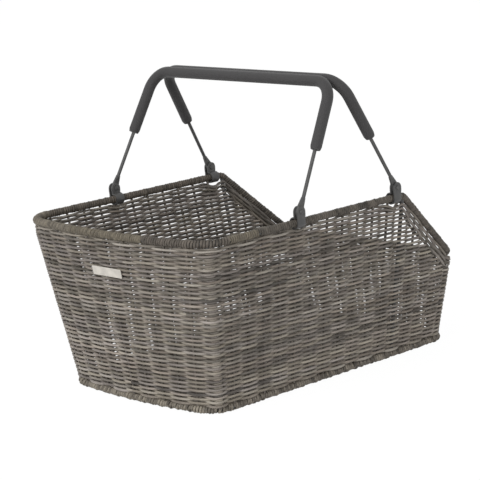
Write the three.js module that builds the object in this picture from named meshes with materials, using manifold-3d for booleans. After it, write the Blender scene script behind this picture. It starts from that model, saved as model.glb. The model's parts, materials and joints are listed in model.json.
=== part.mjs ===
// A bicycle basket: a flared woven basket on a wire frame, with a rim that slopes down to a low front end,
// and two folding bail handles riveted to strap clips on the rim.
// Millimetres, +Z up, +X towards the low front end, origin on the floor under the middle of the base.

import * as THREE from 'three';
import { mergeVertices } from 'three/addons/utils/BufferGeometryUtils.js';
import Module from 'manifold-3d';

const wasm = await Module();
wasm.setup();

// Basket outline, on the centre lines of the rim and base wires
const BASE_LENGTH = 434;
const BASE_WIDTH = 270;
const RIM_WIDTH = 340;
const FRONT_RIM_WIDTH = 300;
const RIM_HEIGHT = 219.3;
const FRONT_RIM_HEIGHT = 119.8;
const REAR_OVERHANG = 31.5;
const FRONT_OVERHANG = 3.5;
const RIM_BOW = 17.5;
const BASE_BOW = 12;
const BEND_X = 111;

// Corner radii of the same outline
const RIM_REAR_CORNER = 39;
const RIM_FRONT_CORNER = 16;
const BASE_REAR_CORNER = 33;
const BASE_FRONT_CORNER = 22;
const BEND_RADIUS = 14;

// Wires, and the strand wound round them
const RIM_WIRE_RADIUS = 3.2;
const RIM_WRAP_THICKNESS = 1.9;
const BASE_WIRE_RADIUS = 3;
const BASE_WRAP_THICKNESS = 1.7;
const UPRIGHT_RADIUS = 2.5;
const CROSS_WIRE_RADIUS = 2.5;
const CROSS_WIRE_PITCH = 100;
const WRAP_JOINT_GAP = 0.4;

// Weave on each side of an upright
const WEAVE_COVER = 1.2;
const STAKE_PITCH = 28;
const WEAVE_ROW = 23;
const WEAVE_RELIEF = 3;
const RELIEF_MARGIN = 13;

// Handles
const HANDLE_CENTRE_X = 6.5;
const CLIP_SPACING = 175;
const PIVOT_RISE = 13.9;
const BAR_HEIGHT = 381;
const BAR_WIDTH = 328;
const BAR_BEND_RADIUS = 28;
const BAR_GAP = 1;
const ROD_RADIUS = 2.25;
const GRIP_RADIUS = 7.25;
const GRIP_START = 80;
const EYE_RADIUS = 5.6;
const EYE_THICKNESS = 3.2;
const NECK_LENGTH = 18;

// Clips and rivets
const STRAP_THICKNESS = 1.8;
const STRAP_WIDTH = 13;
const CLIP_HEAD_RADIUS = 7;
const RIVET_RADIUS = 1.8;
const RIVET_HEAD_RADIUS = 3.2;
const RIVET_HEAD_HEIGHT = 1.6;

// Plate on the rear wall
const PLATE_WIDTH = 54;
const PLATE_DEPTH = 11.5;
const PLATE_THICKNESS = 1;
const PLATE_HEIGHT = 172.5;
const PLATE_CORNER = 1.2;
const PLATE_PIN_RADIUS = 1;
const PLATE_PIN_SPACING = 40;

// Clearances: between pieces that rest on each other, and round a pivot
const SEAT_GAP = 0.3;
const PIVOT_GAP = 0.3;

// How finely curves are divided
const RIM_SIDES = 10;
const BASE_SIDES = 8;
const ROD_SIDES = 10;
const ROUND_SIDES = 12;
const REAR_STEPS = 4;
const CORNER_STEPS = 4;
const BEND_STEPS = 2;
const FRONT_CORNER_STEPS = 2;
const BAR_BEND_STEPS = 4;

// Sizes that follow from those above
const RIM_ROLL_RADIUS = RIM_WIRE_RADIUS + SEAT_GAP + RIM_WRAP_THICKNESS;
const BASE_ROLL_RADIUS = BASE_WIRE_RADIUS + SEAT_GAP + BASE_WRAP_THICKNESS;
const WALL_THICKNESS = 2 * (UPRIGHT_RADIUS + SEAT_GAP + WEAVE_COVER);
const PIVOT_HEIGHT = RIM_HEIGHT + PIVOT_RISE;

const X_AXIS = new THREE.Vector3(1, 0, 0);
const Z_AXIS = new THREE.Vector3(0, 0, 1);

// Distance from the axis of a faceted round to its edges, where its flats lie at the radius
const edgeReach = (radius, sides) => radius / Math.cos(Math.PI / sides);

// Solids from closed meshes, and back
function toSolid(geometry) {
  const bare = geometry.clone();
  bare.deleteAttribute('normal');
  bare.deleteAttribute('uv');
  const merged = mergeVertices(bare, 1e-4);
  const vertProperties = new Float32Array(merged.attributes.position.array);
  const triVerts = new Uint32Array(merged.index.array);
  return new wasm.Manifold(new wasm.Mesh({ numProp: 3, vertProperties, triVerts }));
}

function toGeometry(solid) {
  const mesh = solid.getMesh();
  const geometry = new THREE.BufferGeometry();
  geometry.setAttribute('position', new THREE.BufferAttribute(new Float32Array(mesh.vertProperties), 3));
  geometry.setIndex(new THREE.BufferAttribute(new Uint32Array(mesh.triVerts), 1));
  return geometry;
}

function cut(geometry, tools) {
  return toGeometry(tools.reduce((solid, tool) => solid.subtract(toSolid(tool)), toSolid(geometry)));
}

function join(geometries) {
  return toGeometry(geometries.map(toSolid).reduce((all, solid) => all.add(solid)));
}

function common(first, second) {
  return toGeometry(toSolid(first).intersect(toSolid(second)));
}

// Direction of a path at each of its points
function pathTangents(path, closed) {
  const last = path.length - 1;
  return path.map((point, i) => {
    const before = path[i > 0 ? i - 1 : closed ? last : 0];
    const after = path[i < last ? i + 1 : closed ? 0 : last];
    const arriving = point.clone().sub(before).normalize();
    const leaving = after.clone().sub(point).normalize();
    return arriving.add(leaving).normalize();
  });
}

// Faceted ring round a point of a path, with a flat on the side that faces away from "up"
function ringAt(centre, tangent, up, radius, sides) {
  const side = new THREE.Vector3().crossVectors(tangent, up).normalize();
  const top = new THREE.Vector3().crossVectors(side, tangent);
  const reach = edgeReach(radius, sides);
  return Array.from({ length: sides }, (_, k) => {
    const angle = -Math.PI / 2 + ((2 * k + 1) * Math.PI) / sides;
    return centre
      .clone()
      .addScaledVector(side, reach * Math.cos(angle))
      .addScaledVector(top, reach * Math.sin(angle));
  });
}

// Skin over a row of rings with equal counts of points; layers are [outer rings] or [outer rings, bore rings].
// A four-sided face that isn't flat is folded inwards.
function skin(layers, closed) {
  const rings = layers[0].length;
  const sides = layers[0][0].length;
  const points = layers.flat(2);
  const positions = points.flatMap((point) => point.toArray());
  const at = (layer, i, k) => (layer * rings + (i % rings)) * sides + (k % sides);
  const index = [];
  const quad = (a, b, c, d) => {
    const [ab, ac, ad] = [b, c, d].map((corner) => points[corner].clone().sub(points[a]));
    if (ab.cross(ac).dot(ad) >= 0) {
      index.push(a, b, c, a, c, d);
    } else {
      index.push(b, c, d, b, d, a);
    }
  };
  const spans = closed ? rings : rings - 1;
  const bored = layers.length > 1;
  for (let k = 0; k < sides; k += 1) {
    for (let i = 0; i < spans; i += 1) {
      quad(at(0, i, k), at(0, i + 1, k), at(0, i + 1, k + 1), at(0, i, k + 1));
      if (bored) {
        quad(at(1, i, k), at(1, i, k + 1), at(1, i + 1, k + 1), at(1, i + 1, k));
      }
    }
    if (!closed && bored) {
      quad(at(0, 0, k), at(0, 0, k + 1), at(1, 0, k + 1), at(1, 0, k));
      quad(at(0, spans, k), at(1, spans, k), at(1, spans, k + 1), at(0, spans, k + 1));
    } else if (!closed && k > 0 && k < sides - 1) {
      index.push(at(0, 0, 0), at(0, 0, k), at(0, 0, k + 1));
      index.push(at(0, spans, 0), at(0, spans, k + 1), at(0, spans, k));
    }
  }
  const geometry = new THREE.BufferGeometry();
  geometry.setAttribute('position', new THREE.Float32BufferAttribute(positions, 3));
  geometry.setIndex(index);
  return geometry;
}

// Round wire or wound tube along a path
function tube({ path, up, radius, bore = 0, sides, closed = false, tangents = pathTangents(path, closed) }) {
  const radii = bore > 0 ? [radius, bore] : [radius];
  const layers = radii.map((r) => path.map((point, i) => ringAt(point, tangents[i], up, r, sides)));
  return skin(layers, closed);
}

// Points of a round corner between two straight runs
function fillet(from, corner, to, radius, steps) {
  const back = from.clone().sub(corner).normalize();
  const ahead = to.clone().sub(corner).normalize();
  const half = Math.acos(back.dot(ahead)) / 2;
  const reach = radius / Math.tan(half);
  const middle = back.clone().add(ahead).normalize().multiplyScalar(radius / Math.sin(half)).add(corner);
  const start = corner.clone().addScaledVector(back, reach).sub(middle);
  const end = corner.clone().addScaledVector(ahead, reach).sub(middle);
  const turn = Math.PI - 2 * half;
  return Array.from({ length: steps + 1 }, (_, i) => {
    const angle = (turn * i) / steps;
    return middle
      .clone()
      .addScaledVector(start, Math.sin(turn - angle) / Math.sin(turn))
      .addScaledVector(end, Math.sin(angle) / Math.sin(turn));
  });
}

// Places along half of the outline, counted from the middle of the rear end round the right side
const REAR_CORNER_END = REAR_STEPS + CORNER_STEPS + 1;
const REAR_CORNER_MIDDLE = REAR_STEPS + 1 + CORNER_STEPS / 2;
const BEND_START = REAR_CORNER_END + 1;
const FRONT_CORNER_START = BEND_START + BEND_STEPS + 1;
const FRONT_CORNER_MIDDLE = FRONT_CORNER_START + FRONT_CORNER_STEPS / 2;

// Closed outline from its right half, which starts at the rear middle and ends at the front middle
function mirrored(half) {
  const left = half.slice(1, -1).map((point) => new THREE.Vector3(point.x, -point.y, point.z));
  return [...half, ...left.reverse()];
}

function rearCurve(cornerX, halfWidth, bow, cornerRadius, height) {
  return Array.from({ length: REAR_STEPS + 1 }, (_, i) => {
    const y = (-(halfWidth - cornerRadius) * i) / REAR_STEPS;
    return new THREE.Vector3(cornerX - bow * (1 - (y / halfWidth) ** 2), y, height);
  });
}

function rimOutline() {
  const rearX = -BASE_LENGTH / 2 - REAR_OVERHANG + RIM_BOW;
  const frontX = BASE_LENGTH / 2 + FRONT_OVERHANG;
  const rear = rearCurve(rearX, RIM_WIDTH / 2, RIM_BOW, RIM_REAR_CORNER, RIM_HEIGHT);
  const rearCorner = new THREE.Vector3(rearX, -RIM_WIDTH / 2, RIM_HEIGHT);
  const bend = new THREE.Vector3(BEND_X, -RIM_WIDTH / 2, RIM_HEIGHT);
  const frontCorner = new THREE.Vector3(frontX, -FRONT_RIM_WIDTH / 2, FRONT_RIM_HEIGHT);
  const frontMiddle = new THREE.Vector3(frontX, 0, FRONT_RIM_HEIGHT);
  return mirrored([
    ...rear,
    ...fillet(rear[REAR_STEPS], rearCorner, bend, RIM_REAR_CORNER, CORNER_STEPS),
    ...fillet(rearCorner, bend, frontCorner, BEND_RADIUS, BEND_STEPS),
    ...fillet(bend, frontCorner, frontMiddle, RIM_FRONT_CORNER, FRONT_CORNER_STEPS),
    frontMiddle,
  ]);
}

// The base outline has as many points as the rim's, so that straight stakes join them
function baseOutline(rim) {
  const rearX = -BASE_LENGTH / 2 + BASE_BOW;
  const frontX = BASE_LENGTH / 2;
  const height = BASE_ROLL_RADIUS;
  const rear = rearCurve(rearX, BASE_WIDTH / 2, BASE_BOW, BASE_REAR_CORNER, height);
  const rearCorner = new THREE.Vector3(rearX, -BASE_WIDTH / 2, height);
  const frontCorner = new THREE.Vector3(frontX, -BASE_WIDTH / 2, height);
  const frontMiddle = new THREE.Vector3(frontX, 0, height);
  const underBend = rim
    .slice(BEND_START, FRONT_CORNER_START)
    .map((point) => new THREE.Vector3(point.x, -BASE_WIDTH / 2, height));
  return mirrored([
    ...rear,
    ...fillet(rear[REAR_STEPS], rearCorner, frontCorner, BASE_REAR_CORNER, CORNER_STEPS),
    ...underBend,
    ...fillet(rearCorner, frontCorner, frontMiddle, BASE_FRONT_CORNER, FRONT_CORNER_STEPS),
    frontMiddle,
  ]);
}

const RIM = rimOutline();
const BASE = baseOutline(RIM);
const RIM_TANGENTS = pathTangents(RIM, true);
const BASE_TANGENTS = pathTangents(BASE, true);
const PLACES = RIM.length;
const leftOf = (place) => PLACES - place;

// Direction of a stake up the wall at a place of the outline
function stakeDirection(place) {
  return RIM[place].clone().sub(BASE[place]).normalize();
}

function wallNormal(place) {
  const along = RIM_TANGENTS[place].clone().add(BASE_TANGENTS[place]);
  return along.cross(stakeDirection(place)).normalize();
}

// Stretch of a closed outline from one place to another, cut short at both ends
function stretch(outline, outlineTangents, [first, last]) {
  const count = (last - first + PLACES) % PLACES;
  const places = Array.from({ length: count + 1 }, (_, i) => (first + i) % PLACES);
  const path = places.map((place) => outline[place].clone());
  const tangents = places.map((place) => outlineTangents[place]);
  path[0].addScaledVector(tangents[0], WRAP_JOINT_GAP / 2);
  path[count].addScaledVector(tangents[count], -WRAP_JOINT_GAP / 2);
  return { path, tangents };
}

// Frame wires
function rimLoop(radius) {
  return tube({ path: RIM, up: Z_AXIS, radius, sides: RIM_SIDES, closed: true });
}

function baseLoop(radius) {
  return tube({ path: BASE, up: Z_AXIS, radius, sides: BASE_SIDES, closed: true });
}

function stake(place, radius) {
  return tube({ path: [BASE[place], RIM[place]], up: X_AXIS, radius, sides: BASE_SIDES });
}

// An upright has a saddle at each end, where it stands against the base wire and the rim wire
function upright(place) {
  const saddles = [rimLoop(RIM_WIRE_RADIUS + SEAT_GAP), baseLoop(BASE_WIRE_RADIUS + SEAT_GAP)];
  return cut(stake(place, UPRIGHT_RADIUS), saddles);
}

function crossWirePath(x, halfLength) {
  return [-halfLength, halfLength].map((y) => new THREE.Vector3(x, y, BASE_ROLL_RADIUS));
}

function crossWire(x) {
  const halfLength = BASE_WIDTH / 2 - edgeReach(BASE_WIRE_RADIUS, BASE_SIDES) - SEAT_GAP;
  return tube({ path: crossWirePath(x, halfLength), up: Z_AXIS, radius: CROSS_WIRE_RADIUS, sides: BASE_SIDES });
}

function crossWireChannel(x) {
  const path = crossWirePath(x, BASE_WIDTH / 2);
  return tube({ path, up: Z_AXIS, radius: CROSS_WIRE_RADIUS + SEAT_GAP, sides: BASE_SIDES });
}

const UPRIGHTS = {
  upright_rear_right: REAR_CORNER_MIDDLE,
  upright_rear_left: leftOf(REAR_CORNER_MIDDLE),
  upright_front_right: FRONT_CORNER_MIDDLE,
  upright_front_left: leftOf(FRONT_CORNER_MIDDLE),
  bend_post_right: BEND_START + 1,
  bend_post_left: leftOf(BEND_START + 1),
};

const CROSS_WIRES = {
  cross_wire_rear: -CROSS_WIRE_PITCH,
  cross_wire_middle: 0,
  cross_wire_front: CROSS_WIRE_PITCH,
};

const uprightChannels = Object.values(UPRIGHTS).map((place) => stake(place, UPRIGHT_RADIUS + SEAT_GAP));
const crossWireChannels = Object.values(CROSS_WIRES).map(crossWireChannel);

// Lengths of wound strand round the rim wire and round the base wire, split where one length ends
const RIM_WRAPS = {
  rim_wrap_rear: [leftOf(REAR_CORNER_END), REAR_CORNER_END],
  rim_wrap_right: [REAR_CORNER_END, BEND_START],
  rim_wrap_right_slope: [BEND_START, FRONT_CORNER_START],
  rim_wrap_front: [FRONT_CORNER_START, leftOf(FRONT_CORNER_START)],
  rim_wrap_left_slope: [leftOf(FRONT_CORNER_START), leftOf(BEND_START)],
  rim_wrap_left: [leftOf(BEND_START), leftOf(REAR_CORNER_END)],
};

const BASE_BORDERS = {
  base_border_rear: [leftOf(REAR_CORNER_END), REAR_CORNER_END],
  base_border_right: [REAR_CORNER_END, FRONT_CORNER_START],
  base_border_front: [FRONT_CORNER_START, leftOf(FRONT_CORNER_START)],
  base_border_left: [leftOf(FRONT_CORNER_START), leftOf(REAR_CORNER_END)],
};

function rimWrap(ends) {
  const roll = tube({
    ...stretch(RIM, RIM_TANGENTS, ends),
    up: Z_AXIS,
    radius: RIM_ROLL_RADIUS,
    bore: RIM_WIRE_RADIUS + SEAT_GAP,
    sides: RIM_SIDES,
  });
  return cut(roll, uprightChannels);
}

function baseBorder(ends) {
  const roll = tube({
    ...stretch(BASE, BASE_TANGENTS, ends),
    up: Z_AXIS,
    radius: BASE_ROLL_RADIUS,
    bore: BASE_WIRE_RADIUS + SEAT_GAP,
    sides: BASE_SIDES,
  });
  return cut(roll, [...uprightChannels, ...crossWireChannels]);
}

// Clips: a strap folded round the rolled rim, with two leaves that hold the eye of a handle rod.
// Distances outwards are measured from the axis of the rim.
const LOOP_INNER = edgeReach(RIM_ROLL_RADIUS, RIM_SIDES) + SEAT_GAP;
const LOOP_OUTER = LOOP_INNER + STRAP_THICKNESS;
const EYE_OUT = LOOP_INNER - PIVOT_GAP - EYE_THICKNESS / 2;
const INNER_LEAF_OUT = EYE_OUT - EYE_THICKNESS / 2 - PIVOT_GAP - STRAP_THICKNESS;
const LEAF_HOLE_RADIUS = RIVET_RADIUS + PIVOT_GAP;

function pivotHole(radius) {
  const reach = 4 * LOOP_OUTER;
  return new THREE.CylinderGeometry(radius, radius, reach, ROUND_SIDES).translate(0, 0, PIVOT_RISE);
}

// One leaf of a clip: a strip that widens to a round head about the pivot
function clipLeaf(outwards, foot) {
  const halfStrap = STRAP_WIDTH / 2;
  const shoulder = PIVOT_RISE - CLIP_HEAD_RADIUS / 2;
  const outline = new THREE.Shape();
  outline.moveTo(-halfStrap, foot);
  outline.lineTo(halfStrap, foot);
  outline.lineTo(halfStrap, LOOP_INNER);
  outline.lineTo(CLIP_HEAD_RADIUS, shoulder);
  outline.absarc(0, PIVOT_RISE, CLIP_HEAD_RADIUS, 0, Math.PI, false);
  outline.lineTo(-CLIP_HEAD_RADIUS, shoulder);
  outline.lineTo(-halfStrap, LOOP_INNER);
  const leaf = new THREE.ExtrudeGeometry(outline, {
    depth: STRAP_THICKNESS,
    bevelEnabled: false,
    curveSegments: ROUND_SIDES / 2,
  });
  return leaf.rotateX(Math.PI / 2).translate(0, -outwards, 0);
}

// The loop of a clip, from its outer leaf round under the rim and up over it to its inner leaf
function clipLoop() {
  const middle = (LOOP_INNER + LOOP_OUTER) / 2;
  const end = Math.acos((INNER_LEAF_OUT + STRAP_THICKNESS / 2) / middle);
  const section = new THREE.Shape();
  section.absarc(0, 0, LOOP_OUTER, end, 2 * Math.PI, false);
  section.absarc(0, 0, LOOP_INNER, 2 * Math.PI, end, true);
  const loop = new THREE.ExtrudeGeometry(section, {
    depth: STRAP_WIDTH,
    bevelEnabled: false,
    curveSegments: ROUND_SIDES,
  });
  const turn = new THREE.Matrix4().makeBasis(
    new THREE.Vector3(0, -1, 0),
    new THREE.Vector3(0, 0, 1),
    new THREE.Vector3(-1, 0, 0),
  );
  return loop.applyMatrix4(turn).translate(STRAP_WIDTH / 2, 0, 0);
}

function clip() {
  const innerFoot = (LOOP_INNER + LOOP_OUTER) / 2 - STRAP_THICKNESS / 2;
  const folded = join([clipLoop(), clipLeaf(LOOP_INNER, -STRAP_THICKNESS), clipLeaf(INNER_LEAF_OUT, innerFoot)]);
  return cut(folded, [pivotHole(LEAF_HOLE_RADIUS)]);
}

// Room for a clip's loop in the top of the wall
function clipNotch(x, sign) {
  const radius = edgeReach(LOOP_OUTER + SEAT_GAP, ROUND_SIDES);
  const notch = new THREE.CylinderGeometry(radius, radius, STRAP_WIDTH + 2 * SEAT_GAP, ROUND_SIDES);
  return notch.rotateZ(Math.PI / 2).translate(x, (sign * RIM_WIDTH) / 2, RIM_HEIGHT);
}

// Rivet through both leaves, with a domed head outside and a flat one inside; it lies along Y, outside at -Y
function rivet() {
  const outside = LOOP_OUTER + SEAT_GAP;
  const inside = INNER_LEAF_OUT - SEAT_GAP;
  const profile = [
    new THREE.Vector2(0, inside - RIVET_HEAD_HEIGHT / 2),
    new THREE.Vector2(RIVET_HEAD_RADIUS, inside - RIVET_HEAD_HEIGHT / 2),
    new THREE.Vector2(RIVET_HEAD_RADIUS, inside),
    new THREE.Vector2(RIVET_RADIUS, inside),
    new THREE.Vector2(RIVET_RADIUS, outside),
    new THREE.Vector2(RIVET_HEAD_RADIUS, outside),
    new THREE.Vector2(RIVET_HEAD_RADIUS * Math.SQRT1_2, outside + RIVET_HEAD_HEIGHT * Math.SQRT1_2),
    new THREE.Vector2(0, outside + RIVET_HEAD_HEIGHT),
  ];
  return new THREE.LatheGeometry(profile, ROUND_SIDES).rotateX(Math.PI).translate(0, 0, PIVOT_RISE);
}

const CLIP_PLACES = {
  rear_right: { x: HANDLE_CENTRE_X - CLIP_SPACING / 2, sign: -1 },
  rear_left: { x: HANDLE_CENTRE_X - CLIP_SPACING / 2, sign: 1 },
  front_right: { x: HANDLE_CENTRE_X + CLIP_SPACING / 2, sign: -1 },
  front_left: { x: HANDLE_CENTRE_X + CLIP_SPACING / 2, sign: 1 },
};

// Bails: a bent rod with flattened eyes, drawn in its own plane with the pivots on the Y axis
const EYE_Y = RIM_WIDTH / 2 + EYE_OUT;
const BAR_REACH = CLIP_SPACING / 2 - GRIP_RADIUS - BAR_GAP / 2;
const BAR_RISE = BAR_HEIGHT - PIVOT_HEIGHT;
const LEG_LENGTH = Math.hypot(BAR_REACH, BAR_RISE);
const LEAN = Math.atan2(BAR_REACH, BAR_RISE);

function legPoint(distance) {
  const eye = new THREE.Vector3(0, -EYE_Y, NECK_LENGTH);
  const bar = new THREE.Vector3(0, -BAR_WIDTH / 2, LEG_LENGTH);
  return eye.lerp(bar, (distance - NECK_LENGTH) / (LEG_LENGTH - NECK_LENGTH));
}

function gripPath() {
  const corner = new THREE.Vector3(0, -BAR_WIDTH / 2, LEG_LENGTH);
  const barMiddle = new THREE.Vector3(0, 0, LEG_LENGTH);
  const half = [
    legPoint(GRIP_START),
    ...fillet(legPoint(GRIP_START), corner, barMiddle, BAR_BEND_RADIUS, BAR_BEND_STEPS),
  ];
  const other = half.map((point) => new THREE.Vector3(0, -point.y, point.z));
  return [...half, ...other.reverse()];
}

function handleEye(sign) {
  const shoulder = Math.PI / 8;
  const outline = new THREE.Shape();
  outline.absarc(0, 0, EYE_RADIUS, Math.PI - shoulder, 2 * Math.PI + shoulder, false);
  outline.lineTo(ROD_RADIUS, NECK_LENGTH);
  outline.lineTo(-ROD_RADIUS, NECK_LENGTH);
  const hole = new THREE.Path();
  hole.absarc(0, 0, LEAF_HOLE_RADIUS, 0, 2 * Math.PI, true);
  outline.holes.push(hole);
  const plate = new THREE.ExtrudeGeometry(outline, {
    depth: EYE_THICKNESS,
    bevelEnabled: false,
    curveSegments: ROUND_SIDES / 2,
  });
  return plate.rotateX(Math.PI / 2).translate(0, sign * EYE_Y + EYE_THICKNESS / 2, 0);
}

function handleRod() {
  const eyeEnd = new THREE.Vector3(0, -EYE_Y, NECK_LENGTH - 2 * ROD_RADIUS);
  const right = [eyeEnd, legPoint(NECK_LENGTH)];
  const left = right.map((point) => new THREE.Vector3(0, -point.y, point.z)).reverse();
  const path = [...right, ...gripPath(), ...left];
  const rod = tube({ path, up: X_AXIS, radius: ROD_RADIUS, sides: ROD_SIDES });
  return join([rod, handleEye(-1), handleEye(1)]);
}

function handleGrip() {
  return tube({
    path: gripPath(),
    up: X_AXIS,
    radius: GRIP_RADIUS,
    bore: ROD_RADIUS + SEAT_GAP,
    sides: ROD_SIDES,
  });
}

// Plate on the middle of the rear wall, with two pins that pass through the weave
const PLATE_UP = stakeDirection(0);
const REAR_NORMAL = wallNormal(0);
const PLATE_CENTRE = BASE[0]
  .clone()
  .lerp(RIM[0], (PLATE_HEIGHT - BASE[0].z) / (RIM[0].z - BASE[0].z))
  .addScaledVector(REAR_NORMAL, WALL_THICKNESS / 2 + SEAT_GAP);
const PLATE_FRAME = new THREE.Matrix4()
  .makeBasis(new THREE.Vector3().crossVectors(PLATE_UP, REAR_NORMAL), PLATE_UP, REAR_NORMAL)
  .setPosition(PLATE_CENTRE);

function platePins(radius) {
  const length = WALL_THICKNESS + SEAT_GAP + PLATE_THICKNESS / 2;
  return [-1, 1].map((sign) =>
    new THREE.CylinderGeometry(radius, radius, length, BASE_SIDES)
      .rotateX(Math.PI / 2)
      .translate((sign * PLATE_PIN_SPACING) / 2, 0, PLATE_THICKNESS / 2 - length / 2)
      .applyMatrix4(PLATE_FRAME),
  );
}

function badgePlate() {
  const x = PLATE_WIDTH / 2 - PLATE_CORNER;
  const y = PLATE_DEPTH / 2 - PLATE_CORNER;
  const outline = new THREE.Shape();
  outline.absarc(x, y, PLATE_CORNER, 0, Math.PI / 2, false);
  outline.absarc(-x, y, PLATE_CORNER, Math.PI / 2, Math.PI, false);
  outline.absarc(-x, -y, PLATE_CORNER, Math.PI, 1.5 * Math.PI, false);
  outline.absarc(x, -y, PLATE_CORNER, 1.5 * Math.PI, 2 * Math.PI, false);
  const plate = new THREE.ExtrudeGeometry(outline, {
    depth: PLATE_THICKNESS,
    bevelEnabled: false,
    curveSegments: 3,
  });
  return join([plate.applyMatrix4(PLATE_FRAME), ...platePins(PLATE_PIN_RADIUS)]);
}

// Weave: a band of strands passes outside one stake and inside the next, and the band above it the other way.
// The share is 1 where the band is right outside, and 0 where it is right inside.
function outsideShare(stakeCount, row) {
  const side = row % 2 === 0 ? 1 : -1;
  return (1 + side * Math.cos(Math.PI * stakeCount)) / 2;
}

// Stakes counted round half of the outline, with a whole number between one upright and the next
function stakeCounts() {
  const posts = [0, REAR_CORNER_MIDDLE, BEND_START + 1, FRONT_CORNER_MIDDLE, PLACES / 2];
  const counts = [0];
  for (let post = 1; post < posts.length; post += 1) {
    const first = posts[post - 1];
    const lengths = [0];
    for (let place = first; place < posts[post]; place += 1) {
      lengths.push(lengths.at(-1) + RIM[place].distanceTo(RIM[place + 1]));
    }
    const stakes = Math.round(lengths.at(-1) / STAKE_PITCH);
    const before = counts[first];
    lengths.slice(1).forEach((length) => counts.push(before + (stakes * length) / lengths.at(-1)));
  }
  return counts;
}

// Ends of the wall at a place of the outline, clear of the flats under the rim roll and on the base border.
// Where the slope of the rim runs out into the front, the roll turns two ways and needs more room.
function wallEnds(place) {
  const runsOut = place === FRONT_CORNER_START || place === leftOf(FRONT_CORNER_START);
  const stakeUp = stakeDirection(place);
  const normal = wallNormal(place);
  const clearance = (tangent, radius, sides) => {
    const side = new THREE.Vector3().crossVectors(tangent, Z_AXIS).normalize();
    const away = side.cross(tangent);
    const tilt = Math.abs(normal.dot(away)) * radius * Math.tan(Math.PI / sides);
    return (radius + SEAT_GAP + tilt) / away.dot(stakeUp);
  };
  const rimReach = runsOut ? edgeReach(RIM_ROLL_RADIUS, RIM_SIDES) + 3 * SEAT_GAP : RIM_ROLL_RADIUS;
  const drop = clearance(RIM_TANGENTS[place], rimReach, RIM_SIDES);
  const rise = clearance(BASE_TANGENTS[place], BASE_ROLL_RADIUS, BASE_SIDES);
  return {
    top: RIM[place].clone().addScaledVector(stakeUp, -drop),
    bottom: BASE[place].clone().addScaledVector(stakeUp, rise),
  };
}

// Columns of the wall at each place of the outline and at the stakes between two distant places
function wallColumns() {
  const half = stakeCounts();
  const stakes = half.at(-1);
  const counts = [...half, ...half.slice(1, -1).reverse().map((count) => 2 * stakes - count), 2 * stakes];
  const posts = new Set(Object.values(UPRIGHTS));
  return RIM.flatMap((corner, place) => {
    const next = (place + 1) % PLACES;
    const steps = Math.max(1, Math.round(corner.distanceTo(RIM[next]) / STAKE_PITCH));
    const ends = wallEnds(place);
    const nextEnds = wallEnds(next);
    return Array.from({ length: steps }, (_, i) => ({
      top: ends.top.clone().lerp(nextEnds.top, i / steps),
      bottom: ends.bottom.clone().lerp(nextEnds.bottom, i / steps),
      normal: wallNormal(place).lerp(wallNormal(next), i / steps).normalize(),
      stakeCount: counts[place] + ((counts[place + 1] - counts[place]) * i) / steps,
      relief: i === 0 && posts.has(place) ? WEAVE_COVER / 2 : WEAVE_RELIEF,
    }));
  });
}

// Section through the wall at a column, up its outer face and down its inner one. The bands lie level, and
// those that the slope of the rim cuts off end close under it.
function wallSection({ top, bottom, normal, stakeCount, relief }) {
  const rows = Math.floor((RIM_HEIGHT - BASE_ROLL_RADIUS - RELIEF_MARGIN) / WEAVE_ROW);
  const outer = [bottom.clone().addScaledVector(normal, WALL_THICKNESS / 2)];
  const inner = [bottom.clone().addScaledVector(normal, -WALL_THICKNESS / 2)];
  for (let row = 1; row <= rows; row += 1) {
    const highest = top.z - ((rows + 1 - row) * RELIEF_MARGIN) / (2 * rows);
    const height = Math.min(bottom.z + row * WEAVE_ROW, highest);
    const depth = top.z - height > RELIEF_MARGIN ? relief : 0;
    const share = outsideShare(stakeCount, row);
    const middle = bottom.clone().lerp(top, (height - bottom.z) / (top.z - bottom.z));
    outer.push(middle.clone().addScaledVector(normal, WALL_THICKNESS / 2 - depth * (1 - share)));
    inner.push(middle.clone().addScaledVector(normal, depth * share - WALL_THICKNESS / 2));
  }
  outer.push(top.clone().addScaledVector(normal, WALL_THICKNESS / 2));
  inner.push(top.clone().addScaledVector(normal, -WALL_THICKNESS / 2));
  return [...outer, ...inner.reverse()];
}

// Woven wall: one continuous shell that stands on the base border and carries the rim roll
function wovenWall() {
  const sections = wallColumns().map(wallSection);
  const notches = Object.values(CLIP_PLACES).map(({ x, sign }) => clipNotch(x, sign));
  const pinHoles = platePins(edgeReach(PLATE_PIN_RADIUS + SEAT_GAP, BASE_SIDES));
  return cut(skin([sections], true), [...uprightChannels, ...notches, ...pinHoles]);
}

// Slab with a flat underside, wider than the floor, whose top rises and falls as the wall does
function floorSlab() {
  const pitch = CROSS_WIRE_PITCH / Math.round(CROSS_WIRE_PITCH / STAKE_PITCH);
  const stakes = Math.ceil(BASE_LENGTH / 2 / pitch);
  const rows = Math.ceil(BASE_WIDTH / 2 / WEAVE_ROW);
  const sections = Array.from({ length: 2 * stakes + 1 }, (_, i) => {
    const x = (i - stakes) * pitch;
    const overWire = Object.values(CROSS_WIRES).some((wire) => Math.abs(wire - x) < pitch / 2);
    const end = i === 0 || i === 2 * stakes;
    const depth = end ? 0 : overWire ? WEAVE_RELIEF / 2 : WEAVE_RELIEF;
    const top = Array.from({ length: 2 * rows + 1 }, (__, row) => {
      const height = 2 * BASE_ROLL_RADIUS - depth * (1 - outsideShare(i, row));
      return new THREE.Vector3(x, (row - rows) * WEAVE_ROW, height);
    });
    return [top[0].clone().setZ(0), ...top, top.at(-1).clone().setZ(0)];
  });
  return skin([sections], false);
}

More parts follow.
